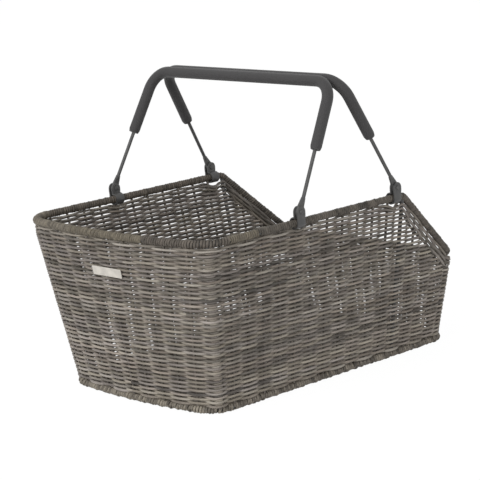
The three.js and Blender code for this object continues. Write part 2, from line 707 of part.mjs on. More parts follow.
// Woven floor inside the base border, on its cross wires
function wovenBase() {
  const inset = edgeReach(BASE_ROLL_RADIUS, BASE_SIDES) + SEAT_GAP;
  const edge = BASE.map((point, place) => {
    const outwards = new THREE.Vector3().crossVectors(BASE_TANGENTS[place], Z_AXIS);
    const inner = point.clone().addScaledVector(outwards, -inset);
    return new THREE.Vector2(inner.x, inner.y);
  });
  const block = new THREE.ExtrudeGeometry(new THREE.Shape(edge), {
    depth: 4 * BASE_ROLL_RADIUS,
    bevelEnabled: false,
  });
  const floor = common(block.translate(0, 0, -BASE_ROLL_RADIUS), floorSlab());
  return cut(floor, crossWireChannels);
}

// Finishes
const FINISHES = {
  strand: { color: 0x6a6156, roughness: 0.7, metalness: 0 },
  wound: { color: 0x5d554a, roughness: 0.65, metalness: 0 },
  steel: { color: 0x2c2c2d, roughness: 0.5, metalness: 0.6 },
  foam: { color: 0x39393a, roughness: 0.85, metalness: 0 },
  plate: { color: 0xb4b3ae, roughness: 0.4, metalness: 0.8 },
};

function piece(name, geometry, finish) {
  const mesh = new THREE.Mesh(geometry, new THREE.MeshStandardMaterial(FINISHES[finish]));
  mesh.name = name;
  return mesh;
}

function buildFrame() {
  const frame = new THREE.Group();
  frame.add(piece('rim_wire', rimLoop(RIM_WIRE_RADIUS), 'steel'));
  frame.add(piece('base_wire', baseLoop(BASE_WIRE_RADIUS), 'steel'));
  for (const [name, place] of Object.entries(UPRIGHTS)) {
    frame.add(piece(name, upright(place), 'steel'));
  }
  for (const [name, x] of Object.entries(CROSS_WIRES)) {
    frame.add(piece(name, crossWire(x), 'steel'));
  }
  return frame;
}

function buildWeave() {
  const weave = new THREE.Group();
  weave.add(piece('woven_wall', wovenWall(), 'strand'));
  weave.add(piece('woven_base', wovenBase(), 'strand'));
  for (const [name, ends] of Object.entries(RIM_WRAPS)) {
    weave.add(piece(name, rimWrap(ends), 'wound'));
  }
  for (const [name, ends] of Object.entries(BASE_BORDERS)) {
    weave.add(piece(name, baseBorder(ends), 'wound'));
  }
  weave.add(piece('badge_plate', badgePlate(), 'plate'));
  return weave;
}

// A clip and its rivet; on the left side both are turned about
function buildClip(place) {
  const { x, sign } = CLIP_PLACES[place];
  const holder = new THREE.Group();
  holder.position.set(x, (sign * RIM_WIDTH) / 2, RIM_HEIGHT);
  holder.rotation.z = sign > 0 ? Math.PI : 0;
  holder.add(piece(`clip_${place}`, clip(), 'steel'));
  holder.add(piece(`rivet_${place}`, rivet(), 'steel'));
  return holder;
}

// A bail leaning over the basket from its clips; the rear one leans forwards, the front one backwards
function buildBail(end, sign) {
  const bail = new THREE.Group();
  bail.position.set(HANDLE_CENTRE_X + (sign * CLIP_SPACING) / 2, 0, PIVOT_HEIGHT);
  bail.rotation.y = -sign * LEAN;
  bail.add(piece(`${end}_handle_rod`, handleRod(), 'steel'));
  bail.add(piece(`${end}_handle_grip`, handleGrip(), 'foam'));
  return bail;
}

const basket = new THREE.Group();
basket.add(buildFrame());
basket.add(buildWeave());
for (const place of Object.keys(CLIP_PLACES)) {
  basket.add(buildClip(place));
}
basket.add(buildBail('rear', -1));
basket.add(buildBail('front', 1));

export default basket;
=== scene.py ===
"""Looks of a woven bicycle basket with two folding bail handles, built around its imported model.

The basket stands on the floor at z = 0, with +X towards its low front end, -Y to its right side and +Z up.
All sizes are in metres.
"""

import json
import logging
import math
from collections.abc import Iterable
from dataclasses import asdict, dataclass, field, fields
from enum import Enum
from typing import Any

import bmesh
import bpy
import numpy as np
from mathutils import Matrix, Vector


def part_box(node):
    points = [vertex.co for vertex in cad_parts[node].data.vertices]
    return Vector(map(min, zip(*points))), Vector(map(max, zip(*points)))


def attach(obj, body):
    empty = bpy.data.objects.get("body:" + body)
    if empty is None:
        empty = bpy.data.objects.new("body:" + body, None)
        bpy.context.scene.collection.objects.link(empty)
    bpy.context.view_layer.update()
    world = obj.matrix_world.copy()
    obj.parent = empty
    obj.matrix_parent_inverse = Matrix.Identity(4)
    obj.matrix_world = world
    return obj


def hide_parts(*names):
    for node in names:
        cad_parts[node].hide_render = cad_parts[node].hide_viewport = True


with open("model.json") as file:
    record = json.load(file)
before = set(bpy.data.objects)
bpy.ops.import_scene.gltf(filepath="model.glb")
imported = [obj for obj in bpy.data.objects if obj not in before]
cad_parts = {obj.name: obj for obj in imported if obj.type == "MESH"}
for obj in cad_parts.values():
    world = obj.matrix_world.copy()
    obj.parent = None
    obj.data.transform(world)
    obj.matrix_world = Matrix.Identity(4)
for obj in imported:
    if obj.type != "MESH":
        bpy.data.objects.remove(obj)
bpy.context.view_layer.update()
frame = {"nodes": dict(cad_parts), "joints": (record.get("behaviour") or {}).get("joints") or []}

BASKET_BODY = "basket"
AHEAD = np.array((1.0, 0.0, 0.0))
UP = np.array((0.0, 0.0, 1.0))
WHITE = (1.0, 1.0, 1.0, 1.0)
TONE_LIMITS = (0.05, 0.95)
WELD_DISTANCE = 1e-6
FLAT_ANGLE = math.radians(0.5)
SHARP_ANGLE = math.radians(42)
BROKEN_ANGLE = math.radians(50)

Colour = tuple[float, float, float]
Place = tuple[float, float, float]
Material = bpy.types.Material
Object = bpy.types.Object
Random = np.random.Generator
Socket = bpy.types.NodeSocket
log = logging.getLogger("bicycle_basket")


class Slot(Enum):
    """Material slots of the record."""

    WOVEN = "woven_strand"
    WOUND = "wound_strand"
    STEEL = "painted_steel"
    FOAM = "foam_grip"
    PLATE = "bare_plate"


class End(Enum):
    """The two bails, by the end of the basket that each folds towards."""

    REAR = -1
    FRONT = 1


def nodes_named(*starts: str) -> list[str]:
    """Returns the names of the CAD nodes that start in one of some ways."""
    return [name for name in frame["nodes"] if name.startswith(starts)]


def middle(name: str) -> Vector:
    """Returns the middle of a CAD node's box."""
    low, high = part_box(name)
    return (low + high) / 2


def unit(vector: np.ndarray) -> np.ndarray:
    """Returns a vector, or each row of an array, at length 1."""
    return vector / np.linalg.norm(vector, axis=-1, keepdims=True)


def rise(value: Any, start: float, run: float) -> Any:
    """Returns 0 up to a start, 1 from one run after it, and a straight rise between them."""
    return np.clip((value - start) / run, 0.0, 1.0)


def bell(distance: Any, reach: float) -> Any:
    """Returns 1 at no distance, falling off smoothly round a reach."""
    return np.exp(-((distance / reach) ** 2))


def looped(line: np.ndarray) -> np.ndarray:
    """Returns a line with its first point once more at its end."""
    return np.vstack((line, line[:1]))


def lengths_along(line: np.ndarray) -> np.ndarray:
    """Returns the length of a line up to each of its points."""
    return np.concatenate(([0.0], np.cumsum(np.linalg.norm(np.diff(line, axis=0), axis=1))))


def points_along(line: np.ndarray, lengths: np.ndarray, places: np.ndarray) -> np.ndarray:
    """Returns the points of a line at some lengths along it."""
    return np.stack([np.interp(places, lengths, axis) for axis in line.T], axis=1)


def resampled(line: np.ndarray, step: float) -> np.ndarray:
    """Spaces the points of a line evenly.

    Args:
        line: The line, one point to a row.
        step: About how far apart the new points are.

    Returns:
        The new points.
    """
    lengths = lengths_along(line)
    count = max(2, round(lengths[-1] / step))
    return points_along(line, lengths, np.linspace(0.0, lengths[-1], count + 1))


def fillet(
    before: np.ndarray, corner: np.ndarray, after: np.ndarray, radius: float, steps: int
) -> np.ndarray:
    """Rounds a corner between two straight runs.

    Args:
        before: A point of the run that comes to the corner.
        corner: The corner.
        after: A point of the run that leaves it.
        radius: The radius of the round.
        steps: Into how many steps it is divided.

    Returns:
        The points of the round, one to a row.
    """
    back = unit(before - corner)
    ahead = unit(after - corner)
    half = math.acos(float(back @ ahead)) / 2
    reach = radius / math.tan(half)
    centre = corner + unit(back + ahead) * radius / math.sin(half)
    start = corner + back * reach - centre
    end = corner + ahead * reach - centre
    turn = math.pi - 2 * half
    angles = np.linspace(0.0, turn, steps + 1)[:, None]
    return centre + (start * np.sin(turn - angles) + end * np.sin(angles)) / math.sin(turn)


def link(name: str, mesh: bpy.types.Mesh) -> Object:
    """Puts a mesh into the scene.

    Args:
        name: The new object's name.
        mesh: Its mesh.

    Returns:
        The object.
    """
    piece = bpy.data.objects.new(name, mesh)
    bpy.context.scene.collection.objects.link(piece)
    return piece


def keep_evaluated(piece: Object) -> None:
    """Keeps what a piece's modifiers make as its plain mesh.

    Args:
        piece: The piece, which loses its modifiers.
    """
    depsgraph = bpy.context.evaluated_depsgraph_get()
    evaluated = piece.evaluated_get(depsgraph)
    mesh = bpy.data.meshes.new_from_object(evaluated, preserve_all_data_layers=True, depsgraph=depsgraph)
    piece.modifiers.clear()
    piece.data = mesh


def settle(piece: Object, body: str, nodes: Iterable[str]) -> None:
    """Fixes a finished piece to its body and reports it.

    Args:
        piece: The piece.
        body: The body that it moves with.
        nodes: The CAD nodes that it stands for.
    """
    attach(piece, body)
    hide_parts(*nodes)
    log.info("%s: %d faces on %s", piece.name, len(piece.data.polygons), body)


def softened_copy(node: str, name: str, finish: Material, edge: float) -> Object:
    """Copies a CAD node with its edges broken and its round faces smooth.

    Args:
        node: The node to copy.
        name: The copy's name.
        finish: Its material.
        edge: The width of the broken edges.

    Returns:
        The copy.
    """
    mesh = frame["nodes"][node].data.copy()
    mesh.name = name
    mesh.materials.clear()
    mesh.materials.append(finish)
    work = bmesh.new()
    work.from_mesh(mesh)
    bmesh.ops.remove_doubles(work, verts=work.verts, dist=WELD_DISTANCE)
    bmesh.ops.dissolve_limit(work, angle_limit=FLAT_ANGLE, verts=work.verts, edges=work.edges)
    work.to_mesh(mesh)
    work.free()
    piece = link(name, mesh)
    bevel = piece.modifiers.new("Broken edges", "BEVEL")
    bevel.width = edge
    bevel.segments = 2
    bevel.limit_method = "ANGLE"
    bevel.angle_limit = BROKEN_ANGLE
    keep_evaluated(piece)
    piece.data.set_sharp_from_angle(angle=SHARP_ANGLE)
    piece.data.polygons.foreach_set("use_smooth", [True] * len(piece.data.polygons))
    return piece


@dataclass
class Strand:
    """A guide line with what each of its points carries.

    Attributes:
        points: The points, one to a row.
        outwards: The direction in which the line swings, one for all points or one for each.
        stake: The count of stakes passed so far, shifted by one for each row.
        depth: The share of the weave depth that the line swings by.
        tuck: How far the line is drawn inwards.
        thick: The strand's thickness as a share of the usual one.
        tone: How pale this strand is, from 0 to 1.
        hue: Where this strand lies among the strands' hues, from 0 to 1.
    """

    points: np.ndarray
    outwards: np.ndarray
    stake: np.ndarray | float = 0.0
    depth: np.ndarray | float = 1.0
    tuck: np.ndarray | float = 0.0
    thick: np.ndarray | float = 1.0
    tone: float = 0.5
    hue: float = 0.5

    @property
    def along(self) -> np.ndarray:
        """The length of line up to each point."""
        return lengths_along(self.points)


def guide_object(name: str, strands: list[Strand]) -> Object:
    """Makes one object of loose edges from a list of guide lines.

    Args:
        name: The object's name.
        strands: The guide lines.

    Returns:
        The object, with the lines' values as attributes of its points.
    """
    mesh = bpy.data.meshes.new(name)
    counts = [len(strand.points) for strand in strands]
    starts = np.concatenate(([0], np.cumsum(counts)[:-1]))
    edges = [(start + i, start + i + 1) for start, count in zip(starts, counts) for i in range(count - 1)]
    mesh.from_pydata(np.concatenate([strand.points for strand in strands]).tolist(), edges, [])
    outwards = [np.broadcast_to(strand.outwards, strand.points.shape) for strand in strands]
    layer = mesh.attributes.new("outwards", "FLOAT_VECTOR", "POINT")
    layer.data.foreach_set("vector", np.concatenate(outwards).astype(np.float32).ravel())
    for value in ("stake", "depth", "tuck", "thick", "tone", "hue", "along"):
        values = [np.broadcast_to(getattr(strand, value), count) for strand, count in zip(strands, counts)]
        layer = mesh.attributes.new(value, "FLOAT", "POINT")
        layer.data.foreach_set("value", np.concatenate(values).astype(np.float32))
    return link(name, mesh)


class TreeBuilder:
    """Adds nodes to one node tree and links them."""

    def __init__(self, tree: bpy.types.NodeTree) -> None:
        """Starts on a tree."""
        self.tree = tree

    def feed(self, socket: Socket, value: Any) -> None:
        """Links a socket to another one, or sets its value.

        Args:
            socket: The input to feed.
            value: An output socket, or a plain value.
        """
        if isinstance(value, Socket):
            self.tree.links.new(value, socket)
        else:
            socket.default_value = value

    def add(self, kind: str, inputs: dict[Any, Any], **settings: Any) -> bpy.types.Node:
        """Adds a node.

        Args:
            kind: The node's type.
            inputs: What feeds each input, by the input's name or number.
            settings: The node's own properties.

        Returns:
            The new node.
        """
        node = self.tree.nodes.new(kind)
        for name, setting in settings.items():
            setattr(node, name, setting)
        for key, value in inputs.items():
            self.feed(node.inputs[key], value)
        return node

    def out(self, kind: str, inputs: dict[Any, Any], output: Any = 0, **settings: Any) -> Socket:
        """Adds a node and returns one of its outputs, by name or number."""
        return self.add(kind, inputs, **settings).outputs[output]

    def math(self, operation: str, *values: Any) -> Socket:
        """Adds a Math node and returns its result."""
        return self.out("ShaderNodeMath", dict(enumerate(values)), operation=operation)

    def vector(self, operation: str, *values: Any) -> Socket:
        """Adds a Vector Math node and returns its vector."""
        return self.out("ShaderNodeVectorMath", dict(enumerate(values)), operation=operation)

    def scale(self, vector: Any, factor: Any) -> Socket:
        """Returns a vector times a number."""
        return self.out("ShaderNodeVectorMath", {"Vector": vector, "Scale": factor}, operation="SCALE")

    def centred(self, value: Any, spread: Any) -> Socket:
        """Returns a value from 0 to 1 as one from minus half the spread to plus half of it."""
        return self.math("MULTIPLY", self.math("SUBTRACT", value, 0.5), spread)


def input_name(size: str) -> str:
    """Returns the name of the tree input that takes a size."""
    return size.replace("_", " ").title()


class GeometryTree(TreeBuilder):
    """A Geometry Nodes tree with named inputs, which ends in one material."""

    def __init__(self, name: str, sizes: type) -> None:
        """Makes the tree and its sockets.

        Args:
            name: The tree's name.
            sizes: The dataclass of the sizes that the tree takes.
        """
        super().__init__(bpy.data.node_groups.new(name, "GeometryNodeTree"))
        interface = self.tree.interface
        interface.new_socket("Geometry", in_out="OUTPUT", socket_type="NodeSocketGeometry")
        kinds = {input_name(size.name): size.type.__name__.title() for size in fields(sizes)}
        for label, kind in {"Geometry": "Geometry", **kinds, "Material": "Material"}.items():
            interface.new_socket(label, in_out="INPUT", socket_type=f"NodeSocket{kind}")
        self.inputs = self.tree.nodes.new("NodeGroupInput").outputs

    def attribute(self, name: str, data_type: str = "FLOAT") -> Socket:
        """Returns a named attribute of the guide lines."""
        return self.out("GeometryNodeInputNamedAttribute", {"Name": name}, "Attribute", data_type=data_type)

    def store(self, geometry: Any, name: str, value: Any, data_type: str = "FLOAT") -> Socket:
        """Returns the geometry with a value kept on its points under a name."""
        inputs = {"Geometry": geometry, "Name": name, "Value": value}
        return self.out("GeometryNodeStoreNamedAttribute", inputs, data_type=data_type, domain="POINT")

    def sweep(self, curve: Any, profile: Any, scale: Any) -> Socket:
        """Draws a profile along a curve.

        Args:
            curve: The curve.
            profile: The profile.
            scale: The profile's size at each point.

        Returns:
            The closed mesh.
        """
        turns = self.out("GeometryNodeSplineParameter", {}, "Factor")
        inputs = {
            "Curve": curve,
            "Profile Curve": self.store(profile, "around", turns),
            "Scale": scale,
            "Fill Caps": True,
        }
        return self.out("GeometryNodeCurveToMesh", inputs)

    def end(self, geometry: Any) -> None:
        """Closes the tree: smooth faces, no instances, one material.

        Args:
            geometry: What the tree has made.
        """
        smooth = self.out("GeometryNodeSetShadeSmooth", {"Geometry": geometry})
        whole = self.out("GeometryNodeRealizeInstances", {"Geometry": smooth})
        inputs = {"Geometry": whole, "Material": self.inputs["Material"]}
        self.add("NodeGroupOutput", {0: self.out("GeometryNodeSetMaterial", inputs)})

    def piece(self, name: str, strands: list[Strand], sizes: Any, finish: Material) -> Object:
        """Makes a piece by running the tree on guide lines.

        Args:
            name: The piece's name.
            strands: The guide lines.
            sizes: The sizes that the tree takes.
            finish: The material that it ends in.

        Returns:
            The piece, as a plain mesh.
        """
        guide = guide_object(name, strands)
        modifier = guide.modifiers.new("Nodes", "NODES")
        modifier.node_group = self.tree
        values = {input_name(size): value for size, value in asdict(sizes).items()}
        values["Material"] = finish
        for item in self.tree.interface.items_tree:
            if item.in_out == "INPUT" and item.name in values:
                modifier[item.identifier] = values[item.name]
        keep_evaluated(guide)
        return guide


@dataclass(frozen=True)
class WeaveSizes:
    """Sizes of strands that swing to either side of the stakes that they pass."""

    radius: float
    weave_depth: float
    weave_flatness: float = 1.0
    wander: float = 0.0
    wander_scale: float = 38.0
    sides: int = 8
    seed: float = 0.0


def woven_strand_tree() -> GeometryTree:
    """Makes the tree for strands that swing to either side of the stakes that they pass.

    Returns:
        The tree, whose guide lines carry the attributes of Strand.
    """
    tree = GeometryTree("Woven strands", WeaveSizes)
    sizes = tree.inputs
    flatness = sizes["Weave Flatness"]
    curve = tree.out("GeometryNodeMeshToCurve", {"Mesh": sizes["Geometry"]})
    wave = tree.math("COSINE", tree.math("MULTIPLY", tree.attribute("stake"), math.pi))
    flattened = tree.math("TANH", tree.math("MULTIPLY", wave, flatness))
    swing = tree.math("DIVIDE", flattened, tree.math("TANH", flatness))
    depth = tree.math("MULTIPLY", sizes["Weave Depth"], tree.attribute("depth"))
    reach = tree.math("SUBTRACT", tree.math("MULTIPLY", swing, depth), tree.attribute("tuck"))
    swung = tree.scale(tree.attribute("outwards", "FLOAT_VECTOR"), reach)
    noise_inputs = {
        "Vector": tree.out("GeometryNodeInputPosition", {}),
        "W": sizes["Seed"],
        "Scale": sizes["Wander Scale"],
        "Detail": 1.0,
    }
    noise = tree.out("ShaderNodeTexNoise", noise_inputs, "Color", noise_dimensions="4D")
    wander = tree.scale(tree.vector("SUBTRACT", noise, (0.5, 0.5, 0.5)), sizes["Wander"])
    offset = tree.vector("ADD", swung, wander)
    moved = tree.out("GeometryNodeSetPosition", {"Geometry": curve, "Offset": offset})
    circle = {"Resolution": sizes["Sides"], "Radius": sizes["Radius"]}
    profile = tree.out("GeometryNodeCurvePrimitiveCircle", circle)
    tree.end(tree.sweep(moved, profile, tree.attribute("thick")))
    return tree


@dataclass(frozen=True)
class WindingSizes:
    """Sizes of a strand wound round a wire."""

    core_radius: float
    pitch: float
    width: float
    thickness: float
    unevenness: float
    tone_spread: float
    seed: float
    steps: int = 14
    sides: int = 8


def winding_tree() -> GeometryTree:
    """Makes the tree for a flat strand wound closely round a wire.

    Returns:
        The tree, whose guide line is the wire's axis.
    """
    tree = GeometryTree("Wound strand", WindingSizes)
    sizes = tree.inputs
    axis = tree.out("GeometryNodeMeshToCurve", {"Mesh": sizes["Geometry"]})
    step = tree.math("DIVIDE", sizes["Pitch"], sizes["Steps"])
    stepped = tree.out("GeometryNodeResampleCurve", {"Curve": axis, "Length": step}, mode="LENGTH")
    length = tree.out("GeometryNodeSplineParameter", {}, "Length")
    turns = tree.math("DIVIDE", length, sizes["Pitch"])
    angle = tree.math("MULTIPLY", turns, math.tau)
    tangent = tree.out("GeometryNodeInputTangent", {})
    side = tree.vector("NORMALIZE", tree.vector("CROSS_PRODUCT", tangent, tuple(UP)))
    top = tree.vector("CROSS_PRODUCT", side, tangent)
    sideways = tree.scale(side, tree.math("COSINE", angle))
    upwards = tree.scale(top, tree.math("SINE", angle))
    counted = tree.store(stepped, "along", turns)
    rayed = tree.store(counted, "radial", tree.vector("ADD", sideways, upwards), "FLOAT_VECTOR")
    radial = tree.attribute("radial", "FLOAT_VECTOR")
    whole_turns = tree.math("ADD", tree.math("FLOOR", tree.attribute("along")), sizes["Seed"])
    bulging, paling = (
        tree.out("ShaderNodeTexWhiteNoise", {"W": place}, "Value", noise_dimensions="1D")
        for place in (whole_turns, tree.math("ADD", whole_turns, 0.37))
    )
    core = tree.math("MULTIPLY", sizes["Core Radius"], tree.attribute("thick"))
    reach = tree.math("ADD", core, tree.centred(bulging, sizes["Unevenness"]))
    tone = tree.math("ADD", tree.attribute("tone"), tree.centred(paling, sizes["Tone Spread"]))
    toned = tree.store(rayed, "tone", tone)
    placed = {"Geometry": toned, "Offset": tree.scale(radial, reach)}
    wound = tree.out("GeometryNodeSetPosition", placed)
    turned = tree.out("GeometryNodeSetCurveNormal", {"Curve": wound, "Normal": radial}, mode="FREE")
    circle = tree.out("GeometryNodeCurvePrimitiveCircle", {"Resolution": sizes["Sides"], "Radius": 0.5})
    flat_sizes = {"X": sizes["Thickness"], "Y": sizes["Width"], "Z": 1.0}
    flat = tree.out("ShaderNodeCombineXYZ", flat_sizes)
    profile = tree.out("GeometryNodeTransform", {"Geometry": circle, "Scale": flat})
    tree.end(tree.sweep(turned, profile, 1.0))
    return tree


class MaterialTree(TreeBuilder):
    """The nodes of one material."""

    def __init__(self, name: str) -> None:
        """Makes a material with a Principled shader.

        Args:
            name: The material's name.
        """
        self.material = bpy.data.materials.new(name)
        self.material.use_nodes = True
        super().__init__(self.material.node_tree)
        self.shader = self.tree.nodes["Principled BSDF"]

    def place(self) -> Socket:
        """Returns the place on the object."""
        return self.out("ShaderNodeTexCoord", {}, "Object")

    def carried(self, name: str) -> Socket:
        """Returns a number that the mesh carries under a name."""
        return self.out("ShaderNodeAttribute", {}, "Fac", attribute_name=name)

    def noise(self, place: Any, scale: float, detail: float = 2.0) -> Socket:
        """Returns a noise from 0 to 1."""
        return self.out("ShaderNodeTexNoise", {"Vector": place, "Scale": scale, "Detail": detail}, "Fac")

    def bump(self, strength: float, distance: float, height: Any) -> Socket:
        """Returns the normals of a surface with a height."""
        return self.out("ShaderNodeBump", {"Strength": strength, "Distance": distance, "Height": height})

    def ramp(self, value: Any, stops: dict[float, Colour]) -> Socket:
        """Adds a colour ramp.

        Args:
            value: What the ramp reads.
            stops: The colour at each place on the ramp.

        Returns:
            The ramp's colour.
        """
        node = self.add("ShaderNodeValToRGB", {"Fac": value})
        elements = node.color_ramp.elements
        while len(elements) < len(stops):
            elements.new(0.5)
        for element, (place, colour) in zip(elements, sorted(stops.items())):
            element.position = place
            element.color = (*colour, 1.0)
        return node.outputs["Color"]

    def tinted(self, colour: Any, tint: Any, share: float) -> Socket:
        """Multiplies a tint into a colour.

        Args:
            colour: The colour.
            tint: The tint.
            share: How strongly it tells.

        Returns:
            The tinted colour.
        """
        node = self.add("ShaderNodeMix", {}, data_type="RGBA", blend_type="MULTIPLY")
        sockets = {socket.identifier: socket for socket in (*node.inputs, *node.outputs)}
        for name, value in {"Factor_Float": share, "A_Color": colour, "B_Color": tint}.items():
            self.feed(sockets[name], value)
        return sockets["Result_Color"]

    def dressed(self, inputs: dict[str, Any]) -> Material:
        """Feeds the shader.

        Args:
            inputs: What feeds each of the shader's inputs, by name.

        Returns:
            The finished material.
        """
        for name, value in inputs.items():
            self.feed(self.shader.inputs[name], value)
        return self.material


@dataclass(frozen=True)
class RattanFinish:
    """Dull rattan strand whose colour differs from strand to strand.

    Attributes:
        name: The material's name.
        dark: Colour of the darkest strands and of the grooves.
        body: Colour of most strands.
        pale: Colour of the palest strands.
        hues: Tints that strands take, from the first to the last hue.
        tint: How strongly the hue tints a strand.
        streak_length: How many streaks there are to a metre of strand.
        streaks_round: How many there are round it.
        streak_shift: How far the streaks differ between the darkest and the palest strands.
        blotches: How many blotches there are to a metre.
        mottling: How much streaks and blotches change the tone.
        roughness: Mean roughness.
    """

    name: str
    dark: Colour
    body: Colour
    pale: Colour
    hues: tuple[Colour, ...]
    tint: float = 0.5
    streak_length: float = 90.0
    streaks_round: float = 6.0
    streak_shift: float = 40.0
    blotches: float = 55.0
    mottling: float = 0.7
    roughness: float = 0.6

    def material(self) -> Material:
        """Builds the material's nodes.

        Returns:
            The material.
        """
        tree = MaterialTree(self.name)
        tone = tree.carried("tone")
        lengthwise = {
            "X": tree.math("MULTIPLY", tree.carried("along"), self.streak_length),
            "Y": tree.math("MULTIPLY", tree.carried("around"), self.streaks_round),
            "Z": tree.math("MULTIPLY", tone, self.streak_shift),
        }
        streaks = tree.noise(tree.out("ShaderNodeCombineXYZ", lengthwise), 1.0, 4.0)
        marks = (streaks, tree.noise(tree.place(), self.blotches, 3.0))
        mottle = tree.math("ADD", *(tree.centred(mark, self.mottling) for mark in marks))
        shade = tree.math("ADD", tone, mottle)
        base = tree.ramp(shade, {0.05: self.dark, 0.5: self.body, 1.0: self.pale})
        hues = {i / (len(self.hues) - 1): hue for i, hue in enumerate(self.hues)}
        inputs = {
            "Base Color": tree.tinted(base, tree.ramp(tree.carried("hue"), hues), self.tint),
            "Roughness": tree.math("ADD", self.roughness, tree.centred(streaks, 0.3)),
            "Specular IOR Level": 0.35,
            "Normal": tree.bump(0.35, 0.0004, streaks),
        }
        return tree.dressed(inputs)


@dataclass(frozen=True)
class PaintFinish:
    """Satin paint on steel, slightly uneven.

    Attributes:
        name: The material's name.
        colour: The paint's colour.
        worn: Colour where the paint is rubbed.
        roughness: Mean roughness.
        grain: How many grains there are to a metre.
        rubbing: How many rubbed patches there are to a metre.
    """

    name: str
    colour: Colour
    worn: Colour
    roughness: float = 0.45
    grain: float = 900.0
    rubbing: float = 130.0

    def material(self) -> Material:
        """Builds the material's nodes.

        Returns:
            The material.
        """
        tree = MaterialTree(self.name)
        place = tree.place()
        rubbed = tree.noise(place, self.rubbing, 5.0)
        inputs = {
            "Base Color": tree.ramp(rubbed, {0.35: self.colour, 0.8: self.worn}),
            "Roughness": tree.math("ADD", self.roughness, tree.centred(rubbed, 0.25)),
            "Normal": tree.bump(0.12, 0.0002, tree.noise(place, self.grain)),
        }
        return tree.dressed(inputs)


@dataclass(frozen=True)
class FoamFinish:
    """Matte closed-cell foam with fine pores.

    Attributes:
        name: The material's name.
        colour: Colour of the foam.
        pore: Colour in the pores, painted shade in the pits that the bump makes.
        roughness: Mean roughness.
        pores: How many pores there are to a metre.
        scuffing: How many scuffs there are to a metre.
    """

    name: str
    colour: Colour
    pore: Colour
    roughness: float = 0.72
    pores: float = 1100.0
    scuffing: float = 45.0

    def material(self) -> Material:
        """Builds the material's nodes.

        Returns:
            The material.
        """
        tree = MaterialTree(self.name)
        place = tree.place()
        cells = tree.out("ShaderNodeTexVoronoi", {"Vector": place, "Scale": self.pores}, "Distance")
        scuffs = tree.noise(place, self.scuffing, 6.0)
        mottle = tree.math("ADD", cells, tree.centred(scuffs, 0.8))
        inputs = {
            # Painted shade: the pits that the cells' bump makes are coloured darker.
            "Base Color": tree.ramp(mottle, {0.05: self.pore, 0.6: self.colour}),
            "Roughness": tree.math("ADD", self.roughness, tree.centred(scuffs, 0.3)),
            "Specular IOR Level": 0.4,
            "Sheen Weight": 0.15,
            "Normal": tree.bump(0.3, 0.0003, cells),
        }
        return tree.dressed(inputs)


@dataclass(frozen=True)
class BareMetalFinish:
    """Bare sheet metal with fine brushing.

    Attributes:
        name: The material's name.
        colour: Colour of the metal.
        tarnish: Colour of its duller patches.
        roughness: Mean roughness.
        brushing: How many brush lines there are to a metre.
        patches: How many dull patches there are to a metre.
    """

    name: str
    colour: Colour
    tarnish: Colour
    roughness: float = 0.42
    brushing: float = 2600.0
    patches: float = 90.0

    def material(self) -> Material:
        """Builds the material's nodes.

        Returns:
            The material.
        """
        tree = MaterialTree(self.name)
        place = tree.place()
        lines = tree.noise(tree.vector("MULTIPLY", place, (1.0, 0.04, 1.0)), self.brushing)
        mottle = tree.math("ADD", tree.noise(place, self.patches, 4.0), tree.centred(lines, 0.4))
        inputs = {
            "Base Color": tree.ramp(mottle, {0.3: self.tarnish, 0.7: self.colour}),
            "Roughness": tree.math("ADD", self.roughness, tree.centred(lines, 0.3)),
            "Metallic": 0.35,
            "Normal": tree.bump(0.1, 0.0001, lines),
        }
        return tree.dressed(inputs)


@dataclass(frozen=True)
class Crease:
    """How a rounded corner of the wall is drawn out to a crease.

    Attributes:
        base_draw: The share of the way to the sharp corner at the base.
        wall_draw: The same close under the rim.
        lean: Steps of the round by which the crease leaves its middle, on at the base and back at the rim.
    """

    base_draw: float
    wall_draw: float
    lean: int


